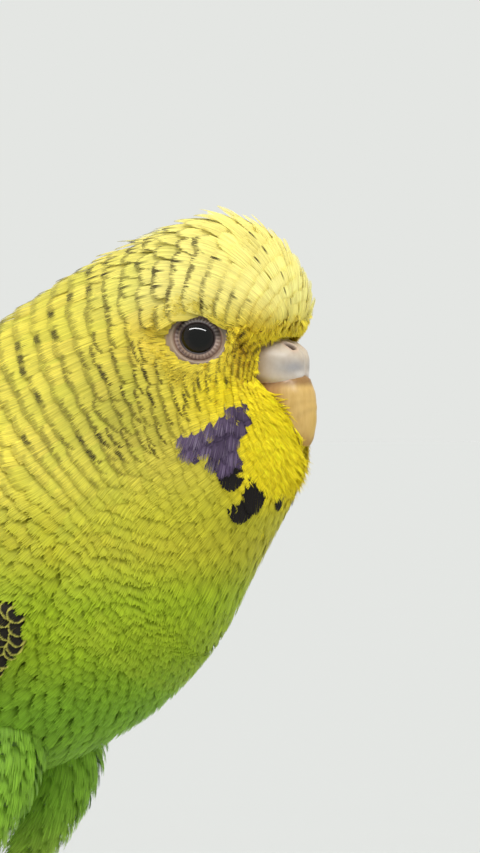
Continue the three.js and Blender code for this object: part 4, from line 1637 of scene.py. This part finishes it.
def paint_tail(rank):
    """Blue middle quills; the rest blue-green with a yellow band half way."""
    def paint(middle, t, across):
        colours = vane_ground("#1f5590", t, 0.1)
        outer = (rank > 0)[:, None, None, None]
        band = ramp(t, 0.28, 0.36) * ramp(t, 0.72, 0.62) * outer
        for code, amount in (("#16305c", ramp(t, 0.45, 0.95) * 0.8),
                             ("#2f7f86", ramp(t, 0.3, 0.0) * 0.8),
                             ("#1f6b62", outer * 0.5),
                             ("#d8cf3e", band * 0.95),
                             ("#15222e", ramp(np.abs(across), 0.78, 0.95) * outer * 0.7)):
            colours = mix(colours, code, amount)
        return colours
    return paint


rank = np.repeat(np.arange(TAIL_PAIRS)[::-1], 2)
side = np.tile([1.0, -1.0], TAIL_PAIRS)
wide = np.stack([TAIL_HALF_WIDTH - MIDDLE_NARROWER * (rank == 0)] * 2, 1)
add_quills("tail_quills", "tail_feathers", "tail", tail_path(rank, side), wide,
           np.full(2 * TAIL_PAIRS, 0.12), paint_tail(rank), barbs=150, slant=0.7, camber=0.2,
           point_at=0.5)


# Legs
# Soft feathers to the heel, then a bare shank and four toes, two turned forwards and two
# back. Their blue-grey skin is armoured with overlapping plates above.

LIMB_SPOKES, LEG_ROWS, TOE_ROWS = 32, 120, 60
# side, forward, up and radius down the leg
LEG_TABLE = np.array([[8.8, 5.0, 38, 5.6], [9.8, 4.2, 28.5, 4.6], [10.3, 1.0, 20.5, 3.0],
                      [10.4, -2.4, 14.6, 1.75], [10.3, -1.6, 10.8, 1.15], [10.1, 0.8, 6.8, 1.1],
                      [10.0, 2.5, 4.0, 1.25], [10.0, 3.0, 1.9, 1.75]])
PALM = (10.0, 3.0)
# turn from straight ahead in degrees, length, claw length, number of pads
TOES = {"back_inner": (-158, 6.5, 3.6, 2), "front_inner": (-20, 9.5, 4.4, 3),
        "front_outer": (14, 13.5, 5.0, 4), "back_outer": (152, 11.5, 4.6, 4)}
TOE_UP, PALM_HIGHER = 0.95, 0.75
SOLE_UP, SOLE_FROM = 0.04, 0.35


def distances(points):
    """How far along a line each of its points lies."""
    steps = np.linalg.norm(np.diff(points, axis=0), axis=1)
    return np.concatenate([[0], np.cumsum(steps)])


def limb_form(table, rows, columns=LIMB_SPOKES):
    """A tube along a smooth line, from rows of side, forward, up and radius: its centres,
    radii, grid, outward directions, and the directions along it and to its top."""
    smooth = smooth_rows(table, np.linspace(0, len(table) - 1, rows))
    centre = np.stack([smooth[:, 0], FRONT_Y + BILL_FRONT - smooth[:, 1], smooth[:, 2]], 1)
    way = unit(np.gradient(centre, axis=0))
    hint = np.array([0, 0, 1.0]) if abs(way[rows // 2][2]) < 0.6 else np.array([0, -1.0, 0])
    across = unit(np.cross(way, hint))
    top = np.cross(across, way)
    angle = spokes(columns)[None, :, None]
    out = np.cos(angle) * top[:, None] + np.sin(angle) * across[:, None]
    grid = centre[:, None] + out * smooth[:, 3][:, None, None]
    return centre, smooth[:, 3], grid, out, way, top


def toe_table(turn, length, pads):
    """Rows of a toe, thinner towards its end, with a pad under each joint."""
    reach = np.linspace(0, 1, 4 * pads + 1)
    turn = math.radians(turn)
    radius = 1.12 - 0.34 * reach + 0.09 * np.cos(2 * math.pi * pads * reach)
    radius[-1] *= 0.72
    return np.stack([PALM[0] + length * reach * math.sin(turn),
                     PALM[1] + length * reach * math.cos(turn),
                     TOE_UP + PALM_HIGHER - PALM_HIGHER * ramp(reach, 0, 0.3), radius], 1)


def flattened(grid):
    """Soles are pressed flat where they meet the floor."""
    low = grid[..., 2]
    grid = grid.copy()
    pressed = SOLE_UP + (SOLE_FROM - SOLE_UP) * np.exp((low - SOLE_FROM) / 0.5)
    grid[..., 2] = np.where(low < SOLE_FROM, pressed, low)
    return grid


limbs = {"leg": limb_form(LEG_TABLE, LEG_ROWS)}
for name, (turn, length, _, pads) in TOES.items():
    limbs[name] = limb_form(toe_table(turn, length, pads), TOE_ROWS)
skin_tubes = [flattened(limb[2]) * np.array([side, 1, 1])
              for side in (1, -1) for limb in limbs.values()]


def paint_scales(points):
    """Blue-grey skin, paler on the soles and pinkish between the plates."""
    return layered("#8f93a3", points.shape,
                   ("#b9a3a0", ramp(points[..., 2], 1.0, 0.1) * 0.7),
                   ("#a7a0a4", near(points, 10.2, -1.0, 10, (4, 5, 5)) * 0.5),
                   ("#5f8226", ramp(points[..., 2], 15, 17)))


PLATE_LONG = 0.85
HEEL_UP = 14.5  # the plates of the shank start below this


def plate_places():
    """Where the plates lie: their points, turns and sizes, down the front of each shank
    and along the top of each toe."""
    places, turns, sizes = [], [], []
    for side in (1, -1):
        for name, (centre, radius, grid, out, way, top) in limbs.items():
            at = distances(centre)
            first, last = 1.4, at[-1] - 0.3
            if name == "leg":
                first, last = at[np.searchsorted(-centre[:, 2], -HEEL_UP)], at[-1] - 1.2
            flip = np.diag([side, 1.0, 1.0])
            for s in np.linspace(first, last, int((last - first) / PLATE_LONG)):
                k = int(np.searchsorted(at, s))
                face = -top[k] * np.sign(top[k][1]) if name == "leg" else top[k]
                matrix = np.stack([np.cross(way[k], face), way[k], face], 1)
                matrix = flip @ matrix @ flip
                places.append(flip @ centre[k])
                turns.append(tuple(Matrix(matrix.tolist()).to_euler()))
                sizes.append((radius[k], PLATE_LONG, radius[k]))
    return np.array(places), np.array(turns), np.array(sizes)


def plate_mesh():
    """One plate round the front of a tube of radius 1: domed, its far edge raised."""
    arc = np.radians(np.linspace(-78, 78, 11))
    run = np.array([-0.62, -0.5, -0.1, 0.35, 0.55, 0.6])
    rise = np.array([0.96, 1.0, 1.03, 1.06, 1.04, 0.97])
    radius = rise[:, None] * (1 - 0.1 * (np.abs(arc) / arc[-1]) ** 6)
    grid = np.stack([np.sin(arc) * radius, run[:, None] * (1 - 0.25 * (arc / arc[-1]) ** 2),
                     np.cos(arc) * radius], -1)
    faces = strip_faces(np.arange(grid.size // 3).reshape(grid.shape[:2])).reshape(-1, 4)
    mesh = bpy.data.meshes.new("plate")
    mesh.from_pydata((grid.reshape(-1, 3) * MM).tolist(), [], faces.tolist())
    mesh.shade_smooth()
    return link_piece("plate", mesh)


def two_tones(tree, amount, *tones):
    """The link that colours a shader from one tone to another, each with its place on the
    way from 0 to 1, by an amount."""
    shades = add_node(tree, "ShaderNodeValToRGB", [("Fac", amount)])
    for element, (code, place) in zip(shades.color_ramp.elements, tones):
        element.position = place
        element.color = hex_colour(code)
    return "Base Color", shades.outputs["Color"]


def evaluated_mesh(piece):
    """A piece's mesh as a plain one, with its modifiers applied."""
    bpy.context.view_layer.update()
    depsgraph = bpy.context.evaluated_depsgraph_get()
    return bpy.data.meshes.new_from_object(piece.evaluated_get(depsgraph))


plate_skin, tree = new_material("leg_plates")
# hard blue-grey plates with a dull shine, mottled, worn paler where they bulge
mottle = noise(tree, 900.0, 3.0)
finish_material(tree, two_tones(tree, mottle, ("#8a8c9c", 0.35), ("#aaaab4", 0.7)),
                bumped(tree, mottle, 0.3, 0.00005), Roughness=0.45, Specular_IOR_Level=0.4)

plates_tree = bpy.data.node_groups.new("plates_on_points", "GeometryNodeTree")
for label, way, kind in (("Geometry", "INPUT", "Geometry"), ("Plate", "INPUT", "Object"),
                         ("Surface", "INPUT", "Material"), ("Geometry", "OUTPUT", "Geometry")):
    plates_tree.interface.new_socket(label, in_out=way, socket_type=f"NodeSocket{kind}")
given = add_node(plates_tree, "NodeGroupInput")
one = add_node(plates_tree, "GeometryNodeObjectInfo", [("Object", given.outputs["Plate"])])
turn, size = (add_node(plates_tree, "GeometryNodeInputNamedAttribute",
                       data_type="FLOAT_VECTOR", Name=label) for label in ("turn", "size"))
laid = add_node(plates_tree, "GeometryNodeInstanceOnPoints", [
    ("Points", given.outputs["Geometry"]), ("Instance", one.outputs["Geometry"]),
    ("Rotation", turn.outputs["Attribute"]), ("Scale", size.outputs["Attribute"])])
real = add_node(plates_tree, "GeometryNodeRealizeInstances", [
    ("Geometry", laid.outputs["Instances"])])
dressed = add_node(plates_tree, "GeometryNodeSetMaterial", [
    ("Geometry", real.outputs["Geometry"]), ("Material", given.outputs["Surface"])])
add_node(plates_tree, "NodeGroupOutput", [("Geometry", dressed.outputs["Geometry"])])

places, turns, sizes = plate_places()
point_mesh = bpy.data.meshes.new("plate_points")
point_mesh.from_pydata((places * MM).tolist(), [], [])
for label, values in (("turn", turns), ("size", sizes)):
    layer = point_mesh.attributes.new(label, "FLOAT_VECTOR", "POINT")
    layer.data.foreach_set("vector", values.astype(np.float32).ravel())
point_object = link_piece("plate_points", point_mesh)
plate = plate_mesh()
setter = point_object.modifiers.new("plates", "NODES")
setter.node_group = plates_tree
inputs = {s.name: s.identifier for s in plates_tree.interface.items_tree if s.in_out == "INPUT"}
setter[inputs["Plate"]] = plate
setter[inputs["Surface"]] = plate_skin
plates = link_piece("leg_plates", evaluated_mesh(point_object))
bpy.data.objects.remove(point_object)
bpy.data.objects.remove(plate)
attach(plates, "root")

# feathers of the thighs
THIGH_ROOT_OUT = 1.3  # how far over the leg's own tube they are laid
THIGH_ROW, THIGH_APART = 1.5, 1.9
THIGH_LENGTH = 5.2
leg_centre, leg_radius, _, leg_out = limbs["leg"][:4]
leg_at = distances(leg_centre)
thigh_grid = leg_centre[:, None] + leg_out * (leg_radius[:, None, None] + THIGH_ROOT_OUT)
heel_at = float(np.interp(-15.0, -leg_centre[:, 2], leg_at))


def paint_thigh(middle, t, u, share, length):
    colours = layered("#86b634", middle.shape, ("#a9c84a", ramp(middle[..., 2], 24, 15) * 0.6))
    return uneven(colours, 0.06, 0.12)


for name, side in SIDES:
    flip = np.array([side, 1, 1])
    leg_lie = (thigh_grid * flip, leg_out * flip, leg_at)
    alongs, angles = [], []
    for row, here in enumerate(np.arange(0.4, heel_at - 0.5, THIGH_ROW)):
        around = 2 * math.pi * (leg_radius[int(np.searchsorted(leg_at, here))] + THIGH_ROOT_OUT)
        count = max(8, int(around / THIGH_APART))
        staggered = (np.arange(count) + 0.5 * (row % 2)) / count * 2 * math.pi
        angles.append(staggered + rng.normal(0, 0.05, count))
        alongs.append(np.full(count, here) + rng.normal(0, 0.15, count))
    along, angle = np.concatenate(alongs), np.concatenate(angles)
    n = len(along)
    length = np.minimum(THIGH_LENGTH * vary(n, 0.08), heel_at + 1.6 - along)
    made = barb_fans(feather_path(along, angle, length, rng.normal(0, 0.08, n), leg_lie), along,
                     angle, length, 2.6 * vary(n, 0.1), 0.3 * vary(n, 0.4), paint_thigh,
                     barbs=16, round_tip=0.35, ragged=0.2, dome=0.1, taper=0.7)
    add_coat(f"coat_thigh_{name}", "green_feathers", made)


# Claws
# Curved pointed horn, blackish grey, one at the end of each toe. A claw grows on from the
# middle of the toe, arches up and comes down to the floor.

CLAW_ROWS, CLAW_SPOKES = 40, 20
CLAW_UP = (0.95, 1.05, 1.5, 1.15, 0.25)
CLAW_RADII = (0.5, 0.62, 0.5, 0.32, 0.06)

claw_material, tree = new_material("claw_horn")
# dark horn with a polish and a fine mottle
grain = noise(tree, 1800.0, 2.0)
finish_material(tree, two_tones(tree, grain, ("#37322f", 0.0), ("#6a615a", 1.0)),
                Roughness=0.3, Specular_IOR_Level=0.5)
for toe, (turn, length, claw, _) in TOES.items():
    reach = np.array([-0.6, 0.0, 0.35 * claw, 0.75 * claw, claw]) + length
    heading = math.radians(turn)
    table = np.stack([PALM[0] + reach * math.sin(heading), PALM[1] + reach * math.cos(heading),
                      CLAW_UP, CLAW_RADII], 1)
    grid = limb_form(table, CLAW_ROWS, CLAW_SPOKES)[2]
    for name, side in SIDES:
        add_shell(f"claw_{toe}_horn_{name}", grid * np.array([side, 1, 1]), np.ones(grid.shape),
                  claw_material, "claw_horn", f"claw_{toe}_{name}")


# Skin
# Thin skin over the flesh, a coat's depth under the tips of the feathers and bare only at the
# lids: a ring of small beads round the opening, dark above and pink below, in a bare patch.

LID_SPOKES = 204
LID_BEADS, BEAD_HIGH = 34, 0.13
# half sizes as in LID_PATCH
LID_OPENING = (2.5, 2.3, 2.1, 2.15)
LID_RING = (3.4, 3.2, 2.9, 2.95)
# how the lids lie: share of the way from the opening (0) over the beaded ring (1) to the
# feathers (2), and their height over the eyeball there
LID_STEPS = np.array([[-0.35, -0.30], [-0.12, -0.05], [0.0, 0.12], [0.10, 0.24], [0.22, 0.28],
                      [0.34, 0.32], [0.46, 0.38], [0.58, 0.40], [0.70, 0.38], [0.82, 0.32],
                      [0.94, 0.22], [1.04, 0.16], [1.16, 0.24], [1.30, 0.28], [1.50, 0.24],
                      [1.75, 0.16], [2.0, 0.08], [2.2, 0.0]])
skin_grid = outline - normals * np.minimum(coat_depth(outline), 0.5 * ring_reach)[..., None]
skin_tree = shell_tree(skin_grid)


def skin_height(ahead, above, side):
    """How far out from the eye's middle the skin lies, for places seen along its axis."""
    far = 12.0
    starts = eye_place(ahead, above, np.full_like(ahead, far), side)
    inward = Vector(-eye_out * np.array([side, 1, 1]))
    heights = np.array([skin_tree.ray_cast(Vector(p), inward)[3] or np.nan
                        for p in starts.reshape(-1, 3)], dtype=float)
    return far - heights.reshape(ahead.shape)


def eyelids(side):
    """A grid of points from the feathers in to the eyeball, with its colours."""
    spoke = spokes(LID_SPOKES)[None, :]
    share, over = LID_STEPS[::-1, :1], LID_STEPS[::-1, 1:]
    opening, ring, patch = (lid_radius(spoke, s) for s in (LID_OPENING, LID_RING, LID_PATCH))
    radius = np.where(share < 1, opening + (ring - opening) * share,
                      ring + (patch - ring) * (share - 1))
    ahead = radius * np.cos(spoke) + LID_CENTRE[0]
    above = radius * np.sin(spoke) + LID_CENTRE[1]
    ball = np.sqrt(np.maximum(EYE_RADIUS ** 2 * 1.03 - ahead ** 2 - above ** 2, 0.05))
    flesh = np.minimum(skin_height(ahead, above, side), 2.6)
    settle = ramp(share, 0.5, 1.6)
    beads = 0.5 + 0.5 * np.cos(LID_BEADS * spoke)
    on_ring = bell(share, 0.58, 0.3)
    out = (ball * (1 - settle) + flesh * settle + over * (1 - ramp(share, 1.9, 2.2))
           + BEAD_HIGH * (beads - 0.4) * on_ring)
    upper = ramp(np.sin(spoke), -0.2, 0.4)
    colours = layered(
        "#a08a76", ahead.shape + (3,),
        ("#6f6450", upper * ramp(share, 1.1, 1.3) * 0.8),
        ("#ad938a", ramp(share, 1.0, 0.85)),
        ("#d0bbae", on_ring * beads * 0.9),
        ("#8c756f", on_ring * (1 - beads) * 0.5),
        ("#1f1915", upper * ramp(share, 1.05, 0.95) * (0.97 - 0.12 * beads)),
        ("#6d3f33", bell(share, 1.02, 0.07) * (0.8 - 0.2 * upper)),
        ("#2a1916", ramp(share, 0.22, 0.08)))
    return eye_place(ahead, above, out, side), colours


def zipped(first, first_turn, second, second_turn):
    """Triangles between two closed loops of point numbers, each with a rising turn."""
    made, i, j = [], 0, 0
    while i < len(first) or j < len(second):
        next_first = first_turn[i % len(first)] + 2 * math.pi * (i // len(first))
        next_second = second_turn[j % len(second)] + 2 * math.pi * (j // len(second))
        a, b = first[i % len(first)], second[j % len(second)]
        if j >= len(second) or (i < len(first) and next_first <= next_second):
            i += 1
            made.append((a, first[i % len(first)], b))
        else:
            j += 1
            made.append((a, second[j % len(second)], b))
    return made


def rim_of(quads):
    """The points round the edge of a patch of quads, in order."""
    steps = {(a, b) for k in range(4) for a, b in quads[:, [k, (k + 1) % 4]].tolist()}
    onward = {a: b for a, b in steps if (b, a) not in steps}
    loop = [min(onward)]
    while onward[loop[-1]] != loop[0]:
        loop.append(onward[loop[-1]])
    return np.array(loop)


SKIN_PAINTED_SHADE = 0.6
points, quads, triangles = close_poles(skin_grid)
# painted shade: the skin has the plumage's colour darkened, so it shows as shade between the
# feathers
colours = base_colour(points) * SKIN_PAINTED_SHADE
# the skin has a hole round each eye, a little larger than the lids' patch
ahead, above = (a - c for a, c in zip(eye_plane(points), LID_CENTRE))
tall = np.where(above > 0, LID_PATCH[2], LID_PATCH[3]) + 0.45
in_hole = (ahead / (LID_PATCH[0] + 0.5)) ** 2 + (above / tall) ** 2 < 1
in_hole &= np.abs(points[:, 0]) > EYES_FROM
dropped = in_hole[quads].any(1)
skin_points, skin_colours, faces = [points], [colours], [quads[~dropped], triangles]
first_new = len(points)
for side in (1, -1):
    loop = rim_of(quads[dropped & (points[quads[:, 0], 0] * side > 0)])
    turn = np.arctan2(above[loop], ahead[loop])
    if np.sum(np.sin(np.roll(turn, -1) - turn)) < 0:
        loop, turn = loop[::-1], turn[::-1]
    start = int(np.argmin(turn))
    loop, turn = np.roll(loop, -start), np.unwrap(np.roll(turn, -start))
    lid_grid, lid_colours = eyelids(side)
    rows = len(lid_grid)
    outer = np.arange(LID_SPOKES) + first_new
    outer_turn = spokes(LID_SPOKES)
    outer_turn = np.where(outer_turn > math.pi, outer_turn - 2 * math.pi, outer_turn)
    order = np.argsort(outer_turn)
    bridge = np.array(zipped(loop, turn, outer[order], outer_turn[order]))
    lid_faces = grid_faces(rows, LID_SPOKES, first_new)
    # the innermost ring is closed behind the eyeball's front
    hub = first_new + rows * LID_SPOKES
    last = hub - LID_SPOKES + np.arange(LID_SPOKES)
    cap = np.stack([last, np.roll(last, -1), np.full(LID_SPOKES, hub)], -1)
    faces += [bridge, lid_faces, cap]
    skin_points += [lid_grid.reshape(-1, 3), lid_grid[-1].mean(0, keepdims=True)]
    skin_colours += [lid_colours.reshape(-1, 3), lid_colours[-1, :1]]
    first_new = hub + 1

skin_material, tree = new_material("bare_skin")
# thin matt skin with fine folds
finish_material(tree, own_colour(tree), bumped(tree, noise(tree, 4000.0, 2.0), 0.3, 0.00006),
                Roughness=0.5, Specular_IOR_Level=0.35)

# points that no face uses go, and the legs' tubes are joined on
used = np.unique(np.concatenate([f.ravel() for f in faces]))
faces = [np.searchsorted(used, f) for f in faces]
flesh = mesh_of("flesh", np.concatenate(skin_points)[used], faces,
                np.clip(np.concatenate(skin_colours)[used], 0, 1))
outward(flesh)
tubes = []
for k, grid in enumerate(skin_tubes):
    points, quads, triangles = close_poles(grid)
    tube = mesh_of(f"tube_{k}", points, [quads, triangles], paint_scales(points))
    outward(tube)
    join = flesh.modifiers.new(tube.name, "BOOLEAN")
    join.operation, join.solver, join.object = "UNION", "MANIFOLD", tube
    tubes.append(tube)
skin = link_piece("skin", evaluated_mesh(flesh))
for spare in (flesh, *tubes):
    bpy.data.objects.remove(spare)
skin.data.materials.clear()
dress(skin, skin_material, "yellow_feathers", "head", "neck", "trunk", "leg_left", "leg_right",
      "foot_left", "foot_right")
